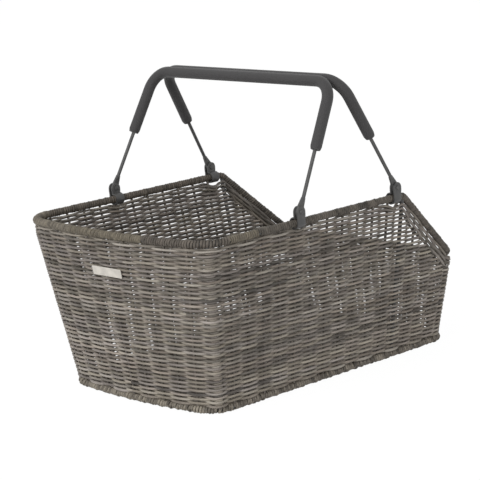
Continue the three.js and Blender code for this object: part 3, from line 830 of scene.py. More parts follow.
@dataclass
class WallOutline:
    """Centre lines of the rim wire and the base wire, with the wall's own edges and stakes between them.

    The outline runs from the middle of the rear end round the right side, the front and the left side.
    """

    base_length: float = 0.434
    base_width: float = 0.270
    base_height: float = 0.005
    rim_width: float = 0.340
    front_rim_width: float = 0.300
    rim_height: float = 0.2193
    front_rim_height: float = 0.1198
    rear_overhang: float = 0.0315
    front_overhang: float = 0.0035
    rim_bow: float = 0.0175
    base_bow: float = 0.012
    bend_x: float = 0.111
    rim_rear_corner: float = 0.039
    rim_front_corner: float = 0.016
    base_rear_corner: float = 0.033
    base_front_corner: float = 0.022
    foot_front_corner: float = 0.029
    bend_radius: float = 0.014
    crease_radius: float = 0.005
    right_crease: Crease = Crease(0.8, 0.65, 2)
    left_crease: Crease = Crease(0.03, 0.3, 0)
    border_crease: Crease = Crease(0.35, 0.0, 2)
    front_draw: float = 1.0
    crease_top: float = 0.90
    round_from: float = 0.975
    rear_stake_pitch: float = 0.032
    stake_pitch: float = 0.028
    points_per_stake: int = 8
    rear_steps: int = 24
    corner_steps: int = 14
    bend_steps: int = 9
    track_steps: int = 4000
    base: np.ndarray = field(init=False)
    rim: np.ndarray = field(init=False)
    foot: np.ndarray = field(init=False)
    crease: np.ndarray = field(init=False)
    outwards: np.ndarray = field(init=False)
    stake: np.ndarray = field(init=False)
    stakes: int = field(init=False)
    upright_stakes: list[int] = field(init=False)

    def __post_init__(self) -> None:
        """Works out the places of the outline, evenly spaced between the frame's uprights."""
        border = (self.border_crease, None)
        sides = (self.right_crease, self.left_crease)
        rim_keys = self._closed(self._rim_half(None), self._rim_half(None))
        base_keys = self._closed(*(self._base_half(crease, self.base_front_corner) for crease in border))
        foot_keys = self._closed(*(self._base_half(crease, self.foot_front_corner) for crease in sides))
        crease_keys = self._closed(*(self._rim_half(crease) for crease in sides))
        crease_keys[:, 2] = rim_keys[:, 2]
        track = looped((crease_keys + foot_keys) / 2)[:, :2]
        lengths = lengths_along(track)
        fine = np.linspace(0.0, lengths[-1], self.track_steps, endpoint=False)
        fine_track = points_along(track, lengths, fine)
        uprights = [np.array(middle(name))[:2] for name in nodes_named("upright_", "bend_post_")]
        anchors = sorted(fine[np.argmin(np.linalg.norm(fine_track - at, axis=1))] for at in uprights)
        half = [0.0, *anchors[: len(anchors) // 2], lengths[-1] / 2]
        pitches = [self.rear_stake_pitch] + [self.stake_pitch] * (len(half) - 2)
        spans = [round((stop - start) / pitch) for start, stop, pitch in zip(half, half[1:], pitches)]
        whole = [int(stake) for stake in np.cumsum(spans)]
        self.stakes = 2 * whole.pop()
        self.upright_stakes = whole + [self.stakes - stake for stake in reversed(whole)]
        self.stake = np.arange(self.stakes * self.points_per_stake) / self.points_per_stake
        known = [0.0, *self.upright_stakes, self.stakes]
        places = np.interp(self.stake, known, [0.0, *anchors, lengths[-1]])
        self.base, self.rim, self.foot, self.crease = (
            points_along(looped(keys), lengths, places)
            for keys in (base_keys, rim_keys, foot_keys, crease_keys)
        )
        centre = (self.foot + self.crease) / 2
        heading = sum(np.roll(centre, -i, 0) - np.roll(centre, i, 0) for i in (1, 2, 3))
        self.outwards = unit(np.cross(heading, UP))

    @staticmethod
    def _closed(right: np.ndarray, left: np.ndarray) -> np.ndarray:
        """Returns the closed outline from its right half and the mirror image of its left half."""
        return np.vstack((right, (left[1:-1] * (1, -1, 1))[::-1]))

    def _rear(self, corner_x: float, width: float, bow: float, corner: float, height: float) -> np.ndarray:
        """Makes the bowed rear end, from its middle to where the corner starts.

        Args:
            corner_x: Where the rear corners lie along the basket.
            width: The width there.
            bow: How far the middle lies behind the corners.
            corner: The radius of the corners.
            height: The height of the line.

        Returns:
            The points, one to a row.
        """
        y = -np.linspace(0.0, width / 2 - corner, self.rear_steps + 1)
        x = corner_x - bow * (1 - (y / (width / 2)) ** 2)
        return np.stack((x, y, np.full_like(y, height)), axis=1)

    def _turn(
        self,
        before: np.ndarray,
        corner: np.ndarray,
        after: np.ndarray,
        radius: float,
        draw: float | None,
        lean: int = 0,
    ) -> np.ndarray:
        """Makes a rounded corner, plain or drawn out to a crease.

        Args:
            before: A point of the run that comes to the corner.
            corner: The corner.
            after: A point of the run that leaves it.
            radius: The radius of the round.
            draw: How far it is drawn out, as a share of the way to the corner, or None for a plain round.
            lean: How many steps after the middle of the round the crease stands.

        Returns:
            The points, as many for each kind.
        """
        arc = fillet(before, corner, after, radius, self.corner_steps)
        if draw is None:
            return arc
        top = arc[self.corner_steps // 2 + lean]
        steps = self.corner_steps // 3
        tip = fillet(arc[0], top + (corner - top) * draw, arc[-1], self.crease_radius, steps)
        run = np.arange(steps + 1)[:, None] / (steps + 1)
        there = arc[0] + (tip[0] - arc[0]) * run
        back = arc[-1] + (tip[-1] - arc[-1]) * run[::-1]
        return np.vstack((there, tip, back))

    def _rim_half(self, crease: Crease | None) -> np.ndarray:
        """Makes the right half of the rim's centre line, or of the creased wall's upper edge.

        Args:
            crease: The crease in the wall's rear corner, or None for the rim.

        Returns:
            The points, one to a row.
        """
        rear_x = -self.base_length / 2 - self.rear_overhang + self.rim_bow
        front_x = self.base_length / 2 + self.front_overhang
        rear = self._rear(rear_x, self.rim_width, self.rim_bow, self.rim_rear_corner, self.rim_height)
        rear_corner = np.array((rear_x, -self.rim_width / 2, self.rim_height))
        bend = np.array((self.bend_x, -self.rim_width / 2, self.rim_height))
        front_corner = np.array((front_x, -self.front_rim_width / 2, self.front_rim_height))
        front = np.array((front_x, 0.0, self.front_rim_height))
        shape = (crease.wall_draw, -crease.lean) if crease else (None,)
        front_draw = self.front_draw if crease else None
        runs = (
            rear,
            self._turn(rear[-1], rear_corner, bend, self.rim_rear_corner, *shape),
            fillet(rear_corner, bend, front_corner, self.bend_radius, self.bend_steps),
            self._turn(bend, front_corner, front, self.rim_front_corner, front_draw),
            front,
        )
        return np.vstack(runs)

    def _base_half(self, crease: Crease | None, front_radius: float) -> np.ndarray:
        """Makes the right half of a line round the base, point for point with the rim's.

        Args:
            crease: The crease in its rear corner, or None.
            front_radius: The radius of its front corner.

        Returns:
            The points, one to a row.
        """
        rear_x = -self.base_length / 2 + self.base_bow
        front_x = self.base_length / 2
        rear = self._rear(rear_x, self.base_width, self.base_bow, self.base_rear_corner, self.base_height)
        rear_corner = np.array((rear_x, -self.base_width / 2, self.base_height))
        front_corner = np.array((front_x, -self.base_width / 2, self.base_height))
        front = np.array((front_x, 0.0, self.base_height))
        bend_start = self.rear_steps + self.corner_steps + 2
        under_bend = self._rim_half(None)[bend_start : bend_start + self.bend_steps + 1].copy()
        under_bend[:, 1:] = rear_corner[1:]
        shape = (crease.base_draw, crease.lean) if crease else (None,)
        runs = (
            rear,
            self._turn(rear[-1], rear_corner, front_corner, self.base_rear_corner, *shape),
            under_bend,
            fillet(rear_corner, front_corner, front, front_radius, self.corner_steps),
            front,
        )
        return np.vstack(runs)

    def at_height(self, heights: np.ndarray) -> np.ndarray:
        """Returns the wall's points at a height for each place of the outline."""
        return self.at_share((heights - self.base[:, 2]) / (self.rim[:, 2] - self.base[:, 2]))

    def at_share(self, share: np.ndarray, place: int | None = None) -> np.ndarray:
        """Finds points of the wall, whose corners are creased except close under the rim.

        Args:
            share: The share of the wall's height at each point.
            place: The place of all the points, or None for one point at each place.

        Returns:
            The points, one to a row.
        """
        places = slice(None) if place is None else place
        rising = rise(share, self.crease_top, self.round_from - self.crease_top)[:, None]
        rounded = rising**2 * (3.0 - 2.0 * rising)
        top = self.crease[places] + (self.rim[places] - self.crease[places]) * rounded
        return self.foot[places] + (top - self.foot[places]) * share[:, None]


@dataclass
class WovenWall:
    """The wall: stakes, and rows of strand woven in and out of them.

    Rows are counted from the top. Closeness is how tightly a row's strands lie, at most 1, and below 0 where
    they are loose.
    """

    outline: WallOutline
    finish: Material
    tree: GeometryTree
    strand_radius: float = 0.00156
    stake_radius: float = 0.0017
    stake_points: int = 12
    stake_tones: tuple[float, float] = (0.1, 0.4)
    weave_depth: float = 0.0027
    weave_flatness: float = 1.5
    rim_roll_radius: float = 0.0050
    rim_gap: float = 0.0005
    rows: int = 74
    band_ends: tuple[int, int] = (28, 51)
    front_rows_missing: int = 36
    level_gap: float = 0.7
    level_bend: float = 0.3
    level_fade: float = 0.008
    slope_rows: int = 4
    slope_strands: int = 2
    slope_end: float = 0.004
    slope_pitch: float = 0.9
    slope_closeness: float = 0.88
    slope_lift: float = 0.0007
    side_reach: float = 0.1
    right_looseness: float = 0.8
    right_closeness: float = 0.2
    loose_from: float = -0.02
    loose_run: float = 0.13
    loose_rows: int = 32
    loose_fade: int = 10
    left_closeness: float = 0.27
    front_run: float = 0.003
    clip_dip: float = 0.0065
    clip_dip_width: float = 0.011
    rear_clip_share: float = 0.45
    dip_rows: float = 4.0
    row_unevenness: float = 0.00012
    wander: float = 0.0007
    upright_depth: float = 1.33
    upright_reach: float = 0.6
    corner_reach: float = 0.2
    corner_press: float = 1.2
    close_depth: float = 0.45
    close_bulk: float = 0.12
    corner_bulk: float = 0.1
    lowest_bulk: float = 1.2
    bulks: tuple[float, float] = (0.95, 1.07)
    strand_stakes: tuple[int, int] = (5, 14)
    fewest_points: int = 4
    end_tuck: float = 0.0008
    end_fade: float = 2.0
    end_bulk: float = 0.75
    end_taper: float = 8.0
    top_tone: float = 0.44
    # tone_gain: painted light, the lower rows made paler as if lit by the floor's bounce
    tone_gain: float = 0.22
    # close_tone: painted shade on close rows and painted light on loose ones
    close_tone: float = 0.15
    lowest_tone: float = 0.1
    tone_spread: float = 0.16
    sides: int = 8
    seed: int = 11

    def build(self) -> None:
        """Makes the stakes and the rows, the upper, middle and lower rows as separate pieces."""
        rng = np.random.default_rng(self.seed)
        self._make("wall_stakes", self._stakes(rng), 0.0, self.stake_radius)
        rows = [self._row(row, rng) for row in range(self.rows)]
        rows[0].extend(self._slope_strands(rng))
        ends = (0, *self.band_ends, self.rows)
        for name, start, stop in zip(("weave_upper", "weave_middle", "weave_lower"), ends, ends[1:]):
            strands = [strand for row in rows[start:stop] for strand in row]
            self._make(name, strands, self.weave_depth, self.strand_radius)

    def _make(self, name: str, strands: list[Strand], depth: float, radius: float) -> None:
        """Turns guide lines into a finished piece of the wall.

        Args:
            name: The piece's name.
            strands: The guide lines.
            depth: How far they swing to either side.
            radius: The strands' radius.
        """
        shape = (radius, depth, self.weave_flatness, self.wander)
        sizes = WeaveSizes(*shape, sides=self.sides, seed=float(self.seed))
        piece = self.tree.piece(name, strands, sizes, self.finish)
        settle(piece, BASKET_BODY, ("woven_wall",))

    def _stakes(self, rng: Random) -> list[Strand]:
        """Makes the stakes, apart from those whose place an upright of the frame takes.

        Args:
            rng: The source of the stakes' differences.

        Returns:
            The stakes.
        """
        outline = self.outline
        strands = []
        taken = {stake % outline.stakes for stake in outline.upright_stakes[1:]}
        for stake in range(outline.stakes):
            if stake in taken:
                continue
            place = stake * outline.points_per_stake
            points = outline.at_share(np.linspace(0.0, 1.0, self.stake_points), place)
            tone = float(rng.uniform(*self.stake_tones))
            hue = float(rng.uniform())
            strands.append(Strand(points, outline.outwards[place], tone=tone, hue=hue))
        return strands

    def _pitch(self) -> float:
        """Returns the distance between rows, so that the rows meet those of the low front."""
        return (self.outline.rim_height - self.outline.front_rim_height) / self.front_rows_missing

    def _dip(self) -> np.ndarray:
        """Works out how the topmost row passes below the clips.

        Returns:
            How far it lies below the rim's underside at each place.
        """
        rim = self.outline.rim
        dip = np.full(len(rim), self.rim_gap)
        for name in nodes_named("clip_"):
            clip = middle(name)
            same_side = np.sign(rim[:, 1]) == np.sign(clip.y)
            distance = np.where(same_side, np.abs(rim[:, 0] - clip.x), 1.0)
            share = 1.0 if "front" in name else self.rear_clip_share
            dip += share * self.clip_dip * bell(distance, self.clip_dip_width)
        return dip

    def _row(self, row: int, rng: Random) -> list[Strand]:
        """Makes one row of the weave.

        Args:
            row: The row's number.
            rng: The source of the strands' differences.

        Returns:
            The row's strands.
        """
        uneven = rng.normal(0.0, self.row_unevenness)
        dip = self._dip() * math.exp(-row / self.dip_rows)
        sloping = self._sloping()
        closed = self._closeness(row)
        if row < self.slope_rows:
            heights = self._under_rim(row)
            kept = np.ones(len(heights), bool)
            closed = np.maximum(self.slope_closeness * sloping, closed)
        else:
            pitch = self._pitch()
            level = self.outline.rim_height - self.rim_roll_radius - self.strand_radius - row * pitch
            room = self._under_rim(self.slope_rows + self.slope_strands * sloping - self.level_gap) - level
            heights = level - self.level_bend * pitch * np.exp(-np.clip(room, 0.0, None) / self.level_fade)
            kept = room > -pitch
        points = self.outline.at_height(heights - dip + uneven)
        return self._split(points, kept, row, closed, rng)

    def _slope_strands(self, rng: Random) -> list[Strand]:
        """Makes the strands that follow only the two slopes of the rim.

        Args:
            rng: The source of the strands' differences.

        Returns:
            The strands.
        """
        strands = []
        sloping = self._sloping()
        for side in (-1, 1):
            kept = (sloping > 0.5) & (np.sign(self.outline.rim[:, 1]) == side)
            for i in range(self.slope_strands):
                row = self.slope_rows + i
                points = self.outline.at_height(self._under_rim(row))
                strands.extend(self._split(points, kept, row, self.slope_closeness * sloping, rng))
        return strands

    def _closeness(self, row: int) -> np.ndarray:
        """Works out how closely a row's strands lie, which is loosest under the right bend.

        Args:
            row: The row's number.

        Returns:
            The closeness at each place.
        """
        rim = self.outline.rim
        side = np.clip(-rim[:, 1] / self.side_reach, -1.0, 1.0)
        forward = rise(rim[:, 0], self.loose_from, self.loose_run)
        front = rise(rim[:, 0], self.outline.base_length / 2, self.front_run)
        high = float(rise(self.loose_rows - row, 0.0, self.loose_fade))
        right = self.right_closeness * (1.0 - forward) - self.right_looseness * forward * high
        along = np.where(side > 0.0, right, -self.left_closeness) * side
        return along * (1.0 - front) + self.left_closeness * front

    def _fall(self) -> float:
        """Returns how steeply the rim falls on its slopes."""
        run = self.outline.base_length / 2 + self.outline.front_overhang - self.outline.bend_x
        return (self.outline.rim_height - self.outline.front_rim_height) / run

    def _sloping(self) -> np.ndarray:
        """Finds the rim's slopes.

        Returns:
            1 at each place where the rim slopes down to the front, and 0 where it is level.
        """
        heights = self.outline.rim[:, 2]
        top = rise(self.outline.rim_height - heights, 0.0, self.slope_end)
        foot = rise(heights, self.outline.front_rim_height, self.slope_end)
        return top * foot

    def _under_rim(self, row: np.ndarray | float) -> np.ndarray:
        """Works out a row that follows the rim.

        Args:
            row: The row's number, which may differ from place to place.

        Returns:
            Its height at each place.
        """
        outline = self.outline
        first = self.rim_roll_radius + self.strand_radius
        drop = first + row * self._pitch()
        slope_drop = first - self.slope_lift + row * self._pitch() * self.slope_pitch
        slope = outline.rim_height - (outline.rim[:, 0] - outline.bend_x) * self._fall()
        steep = math.hypot(1.0, self._fall())
        upper = np.minimum(outline.rim_height - drop, slope - slope_drop * steep)
        return np.maximum(upper, outline.front_rim_height - drop)

    def _split(
        self, points: np.ndarray, kept: np.ndarray, row: int, closed: np.ndarray, rng: Random
    ) -> list[Strand]:
        """Divides a row into single strands that end behind a stake.

        Args:
            points: The row's points at each place of the outline.
            kept: Where the row exists, as one run.
            row: The row's number.
            closed: The closeness at each place.
            rng: The source of the strands' lengths and colours.

        Returns:
            The strands.
        """
        outline = self.outline
        count = len(points)
        step = outline.points_per_stake
        total = int(kept.sum())
        first = 0 if kept.all() else int(np.flatnonzero(kept & ~np.roll(kept, 1))[0])
        stops = [0]
        while stops[-1] < total:
            stakes = int(rng.integers(*self.strand_stakes))
            stakes += (first // step + stops[-1] // step + stakes + row + 1) % 2
            stops.append(min(total, stops[-1] + stakes * step))
        corners = [stake for i, stake in enumerate(outline.upright_stakes) if i % 3 != 1]
        beside = bell(self._distance(outline.upright_stakes), self.upright_reach)
        corner = np.clip(self.corner_press * bell(self._distance(corners), self.corner_reach), 0.0, 1.0)
        depth = (1.0 + (self.upright_depth - 1.0) * beside) * (1.0 - corner)
        depth *= 1.0 - self.close_depth * closed
        outside = corner * self.weave_depth * self.upright_depth
        bulk = 1.0 + self.close_bulk * closed - self.corner_bulk * corner
        # Painted light: each row is paler the lower it lies, standing for light bounced up from the floor.
        tone = self.top_tone + self.tone_gain * row / self.rows
        if row == self.rows - 1:
            bulk *= self.lowest_bulk
            tone += self.lowest_tone
        strands = []
        for start, stop in zip(stops, stops[1:]):
            end = min(stop + step // 2, total) + (total == count)
            indices = np.arange(first + start, first + end) % count
            if len(indices) < self.fewest_points:
                continue
            ends = np.minimum(np.arange(len(indices)), np.arange(len(indices))[::-1])
            taper = np.clip(self.end_bulk + ends / self.end_taper, None, 1.0)
            # Painted shade: close rows are darkened and loose ones paled, standing for the shade between
            # packed strands.
            pale = tone - self.close_tone * float(closed[indices].mean())
            strands.append(
                Strand(
                    points=points[indices],
                    outwards=outline.outwards[indices],
                    stake=outline.stake[indices] + row,
                    depth=depth[indices],
                    tuck=self.end_tuck * np.exp(-ends / self.end_fade) - outside[indices],
                    thick=rng.uniform(*self.bulks) * bulk[indices] * taper,
                    tone=float(np.clip(rng.normal(pale, self.tone_spread), *TONE_LIMITS)),
                    hue=float(rng.uniform()),
                )
            )
        return strands

    def _distance(self, stakes: list[int]) -> np.ndarray:
        """Measures how far each place is from the nearest of some stakes.

        Args:
            stakes: The stakes.

        Returns:
            The distances, counted in stakes.
        """
        total = self.outline.stakes
        gaps = [np.abs((self.outline.stake - at + total / 2) % total - total / 2) for at in stakes]
        return np.min(gaps, axis=0)


@dataclass
class WovenFloor:
    """The floor: lengthwise stakes, and cross rows woven in and out of them between the cross wires."""

    outline: WallOutline
    finish: Material
    tree: GeometryTree
    strand_radius: float = 0.0015
    weave_depth: float = 0.0026
    weave_flatness: float = 1.7
    wander: float = 0.0008
    row_pitch: float = 0.0030
    stake_pitch: float = 0.0270
    stake_step: float = 0.004
    stake_tones: tuple[float, float] = (0.2, 0.6)
    edge: float = 0.004
    wire_room: float = 0.0038
    wire_rise: float = 0.0039
    wire_reach: float = 0.007
    bulks: tuple[float, float] = (0.88, 1.1)
    tone: float = 0.5
    tone_spread: float = 0.2
    points_per_stake: int = 7
    fewest_points: int = 4
    fewest_steps: int = 6
    sides: int = 7
    seed: int = 23

    def build(self) -> None:
        """Makes the floor as one piece."""
        rng = np.random.default_rng(self.seed)
        wires = [middle(name).x for name in nodes_named("cross_wire")]
        strands = [*self._stakes(wires, rng), *self._rows(wires, rng)]
        shape = (self.strand_radius, self.weave_depth, self.weave_flatness, self.wander)
        sizes = WeaveSizes(*shape, sides=self.sides, seed=float(self.seed))
        piece = self.tree.piece("weave_floor", strands, sizes, self.finish)
        settle(piece, BASKET_BODY, ("woven_base",))

    def _half_width(self, x: np.ndarray | float) -> np.ndarray:
        """Finds half of the floor's width.

        Args:
            x: The place along the basket.

        Returns:
            Half of the width there.
        """
        right = self.outline.base[: len(self.outline.base) // 2]
        order = np.argsort(right[:, 0])
        return np.interp(x, right[order, 0], -right[order, 1]) - self.edge

    def _ends(self) -> tuple[float, float]:
        """Returns the floor's rear and front ends along the basket."""
        along = self.outline.base[:, 0]
        return along.min() + self.edge, along.max() - self.edge

    def _stakes(self, wires: list[float], rng: Random) -> list[Strand]:
        """Makes the lengthwise stakes, which rise over the cross wires.

        Args:
            wires: Where the cross wires lie along the basket.
            rng: The source of the stakes' differences.

        Returns:
            The stakes.
        """
        strands = []
        reach = int(self.outline.base_width / 2 / self.stake_pitch)
        for i in range(-reach, reach + 1):
            y = i * self.stake_pitch
            x = np.arange(*self._ends(), self.stake_step)
            x = x[self._half_width(x) > abs(y)]
            if len(x) < self.fewest_points:
                continue
            rises = sum(self.wire_rise * bell(x - wire, self.wire_reach) for wire in wires)
            points = np.stack((x, np.full_like(x, y), self.outline.base_height + rises), axis=1)
            tone = float(rng.uniform(*self.stake_tones))
            hue = float(rng.uniform())
            strands.append(Strand(points, UP, depth=0.0, tone=tone, hue=hue))
        return strands

    def _places(self, wires: list[float]) -> list[float]:
        """Finds where the cross rows lie along the basket, evenly spaced from wire to wire.

        Args:
            wires: Where the cross wires lie.

        Returns:
            The rows' places.
        """
        rear, front = self._ends()
        ends = [rear, *sorted(wires), front]
        places = []
        for start, stop in zip(ends, ends[1:]):
            low = start + (self.wire_room if start in wires else self.row_pitch)
            high = stop - (self.wire_room if stop in wires else self.row_pitch)
            places.extend(np.linspace(low, high, round((high - low) / self.row_pitch) + 1))
        return places

    def _rows(self, wires: list[float], rng: Random) -> list[Strand]:
        """Makes the cross rows, with room left for the cross wires.

        Args:
            wires: Where the cross wires lie along the basket.
            rng: The source of the strands' differences.

        Returns:
            The rows, one strand each.
        """
        strands = []
        for row, x in enumerate(self._places(wires)):
            half = float(self._half_width(x))
            steps = max(self.fewest_steps, round(2 * half / self.stake_pitch * self.points_per_stake))
            y = np.linspace(-half, half, steps + 1)
            points = np.stack((np.full_like(y, x), y, np.full_like(y, self.outline.base_height)), axis=1)
            strands.append(
                Strand(
                    points=points,
                    outwards=UP,
                    stake=y / self.stake_pitch + row,
                    thick=float(rng.uniform(*self.bulks)),
                    tone=float(np.clip(rng.normal(self.tone, self.tone_spread), *TONE_LIMITS)),
                    hue=float(rng.uniform()),
                )
            )
        return strands


@dataclass(frozen=True)
class Stretch:
    """One length of wound strand.

    Attributes:
        start: Where it starts on the outline, in stakes.
        stop: Where it ends, in stakes.
        tone: How pale its strand is, from 0 to 1.
        hue: Where its strand lies among the hues, from 0 to 1.
        fullness: The winding's radius as a share of the usual one.
    """

    start: float
    stop: float
    tone: float
    hue: float
    fullness: float = 1.0


@dataclass
class WoundEdge:
    """A wire of the basket's edge with strand wound round it, in several lengths.

    Attributes:
        line: The wire's centre line, one point to a row, closed.
        stake: The place of each of its points, in stakes.
        sizes: The winding's sizes.
        finish: The strand's material.
        tree: The winding tree.
        stretches: The lengths of strand that stand for each CAD node.
        join: The gap that a length leaves at each of its ends, in stakes.
        guide_points: How many points the guide line of a length has.
    """

    line: np.ndarray
    stake: np.ndarray
    sizes: WindingSizes
    finish: Material
    tree: GeometryTree
    stretches: dict[str, list[Stretch]]
    join: float = 0.015
    guide_points: int = 160

    def build(self) -> None:
        """Winds the lengths of each node as one piece."""
        for node, stretches in self.stretches.items():
            name = node.replace("wrap", "winding").replace("border", "winding")
            guides = [self._guide(stretch) for stretch in stretches]
            piece = self.tree.piece(name, guides, self.sizes, self.finish)
            settle(piece, BASKET_BODY, (node,))

    def _guide(self, stretch: Stretch) -> Strand:
        """Lays the guide line of one length of strand.

        Args:
            stretch: The length of strand.

        Returns:
            Its guide line.
        """
        total = len(self.line) * (self.stake[1] - self.stake[0])
        places = np.linspace(stretch.start + self.join, stretch.stop - self.join, self.guide_points)
        points = points_along(looped(self.line), np.append(self.stake, total), places % total)
        return Strand(points, UP, thick=stretch.fullness, tone=stretch.tone, hue=stretch.hue)


@dataclass
class Bail:
    """A folding handle: a bent rod with eyes at its ends and a foam grip over its bar and bends."""

    end: End
    rod_finish: Material
    grip_finish: Material
    tree: GeometryTree
    bar_height: float = 0.381
    bar_width: float = 0.328
    bend_radius: float = 0.028
    bend_steps: int = 14
    eye_middle: float = 0.0016
    edge: float = 0.0004
    grip_radius: float = 0.00725
    grip_start: float = 0.080
    grip_step: float = 0.004
    end_share: float = 0.86
    neck_length: float = 0.018
    sides: int = 24

    @property
    def body(self) -> str:
        """The name of the bail's body."""
        return f"{self.end.name.lower()}_handle"

    def build(self) -> None:
        """Makes the rod and the grip."""
        rod = softened_copy(f"{self.body}_rod", f"{self.body}_bent_rod", self.rod_finish, self.edge)
        settle(rod, self.body, (f"{self.body}_rod",))
        path = self._grip_path()
        thick = np.ones(len(path))
        thick[[0, -1]] = self.end_share
        guide = Strand(path, AHEAD, thick=thick)
        sizes = WeaveSizes(self.grip_radius, 0.0, sides=self.sides)
        grip = self.tree.piece(f"{self.body}_foam", [guide], sizes, self.grip_finish)
        settle(grip, self.body, (f"{self.body}_grip",))

    def _grip_path(self) -> np.ndarray:
        """Finds the upper part of the bail's axis.

        Returns:
            Its points, one to a row.
        """
        joint = next(joint for joint in frame["joints"] if joint["child"] == self.body)
        pivot = np.array(joint["pos_m"])
        low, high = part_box(f"{self.body}_grip")
        bar_x = (high.x if self.end is End.REAR else low.x) + self.end.value * self.grip_radius
        eye_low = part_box(f"{self.body}_rod")[0]
        eye = np.array((pivot[0], eye_low.y + self.eye_middle, pivot[2]))
        bar = np.array((bar_x, -self.bar_width / 2, self.bar_height))
        leg = np.array((bar_x - pivot[0], 0.0, self.bar_height - pivot[2]))
        leg_length = float(np.linalg.norm(leg))
        neck = eye + leg * self.neck_length / leg_length
        share = (self.grip_start - self.neck_length) / (leg_length - self.neck_length)
        start = neck + (bar - neck) * share
        bar_middle = np.array((bar_x, 0.0, self.bar_height))
        half = np.vstack((start, fillet(start, bar, bar_middle, self.bend_radius, self.bend_steps)))
        return resampled(np.vstack((half, (half * (1, -1, 1))[::-1])), self.grip_step)


@dataclass
class Fittings:
    """The clips on the rim, their rivets, the plate on the rear wall and the wires of the frame."""

    steel: Material
    bare_metal: Material
    edge: float = 0.0004
    plate_edge: float = 0.0002

    def build(self) -> None:
        """Dresses the small metal pieces."""
        for node in nodes_named("clip_", "rivet_"):
            piece = softened_copy(node, f"{node}_dressed", self.steel, self.edge)
            settle(piece, BASKET_BODY, (node,))
        plate = softened_copy("badge_plate", "bare_wall_plate", self.bare_metal, self.plate_edge)
        settle(plate, BASKET_BODY, ("badge_plate",))
        for name in nodes_named("rim_wire", "base_wire", "upright_", "bend_post_", "cross_wire_"):
            materials = frame["nodes"][name].data.materials
            materials.clear()
            materials.append(self.steel)
            log.info("%s: painted", name)


@dataclass
class EdgePlan:
    """Where the lengths of strand on the rim and the base border start and end.

    Attributes:
        outline: The wall's outline.
        rear_breaks: Places across the rear rim where one length of strand ends and the next starts.
        side_break: The same along the right side.
    """

    outline: WallOutline
    rear_breaks: tuple[float, float] = (0.067, -0.072)
    side_break: float = -0.148

    def _beside(self, x: float) -> float:
        """Finds a place on the right side.

        Args:
            x: The distance along the basket.

        Returns:
            The place in stakes.
        """
        half = len(self.outline.stake) // 2
        side = slice(half // 6, half)
        return float(np.interp(x, self.outline.rim[side, 0], self.outline.stake[side]))

    def _behind(self, y: float) -> float:
        """Finds a place on the rear end.

        Args:
            y: The distance across the basket.

        Returns:
            The place in stakes.
        """
        quarter = len(self.outline.stake) // 4
        place = np.interp(abs(y), -self.outline.rim[:quarter, 1], self.outline.stake[:quarter])
        return float(-math.copysign(place, y))

    def _ends(self) -> tuple[float, float, float]:
        """Finds where the CAD lengths end on the right side.

        Returns:
            The rear corner, the bend and the front corner, in stakes.
        """
        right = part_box("rim_wrap_right")
        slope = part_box("rim_wrap_right_slope")
        return self._beside(right[0].x), self._beside(right[1].x), self._beside(slope[1].x)

    def rim(self) -> dict[str, list[Stretch]]:
        """Lists the rim's lengths.

        Returns:
            The lengths by node.
        """
        total = float(self.outline.stakes)
        corner, bend, front = self._ends()
        left, right = (self._behind(y) for y in self.rear_breaks)
        side = self._beside(self.side_break)
        behind = [
            Stretch(-corner, left, 0.57, 0.2),
            Stretch(left, right, 0.46, 0.05),
            Stretch(right, corner, 0.34, 0.75, 0.96),
        ]
        beside = [Stretch(corner, side, 0.46, 0.1, 0.95), Stretch(side, bend, 0.34, 0.45, 0.92)]
        return {
            "rim_wrap_rear": behind,
            "rim_wrap_right": beside,
            "rim_wrap_right_slope": [Stretch(bend, front, 0.36, 0.6, 0.89)],
            "rim_wrap_front": [Stretch(front, total - front, 0.44, 0.3, 0.95)],
            "rim_wrap_left_slope": [Stretch(total - front, total - bend, 0.36, 0.5, 0.9)],
            "rim_wrap_left": [Stretch(total - bend, total - corner, 0.36, 0.85, 0.95)],
        }

    def border(self) -> dict[str, list[Stretch]]:
        """Lists the base border's lengths.

        Returns:
            The lengths by node.
        """
        total = float(self.outline.stakes)
        corner, _, front = self._ends()
        return {
            "base_border_rear": [Stretch(-corner, corner, 0.70, 0.3)],
            "base_border_right": [Stretch(corner, front, 0.60, 0.5)],
            "base_border_front": [Stretch(front, total - front, 0.52, 0.6)],
            "base_border_left": [Stretch(total - front, total - corner, 0.52, 0.4)],
        }


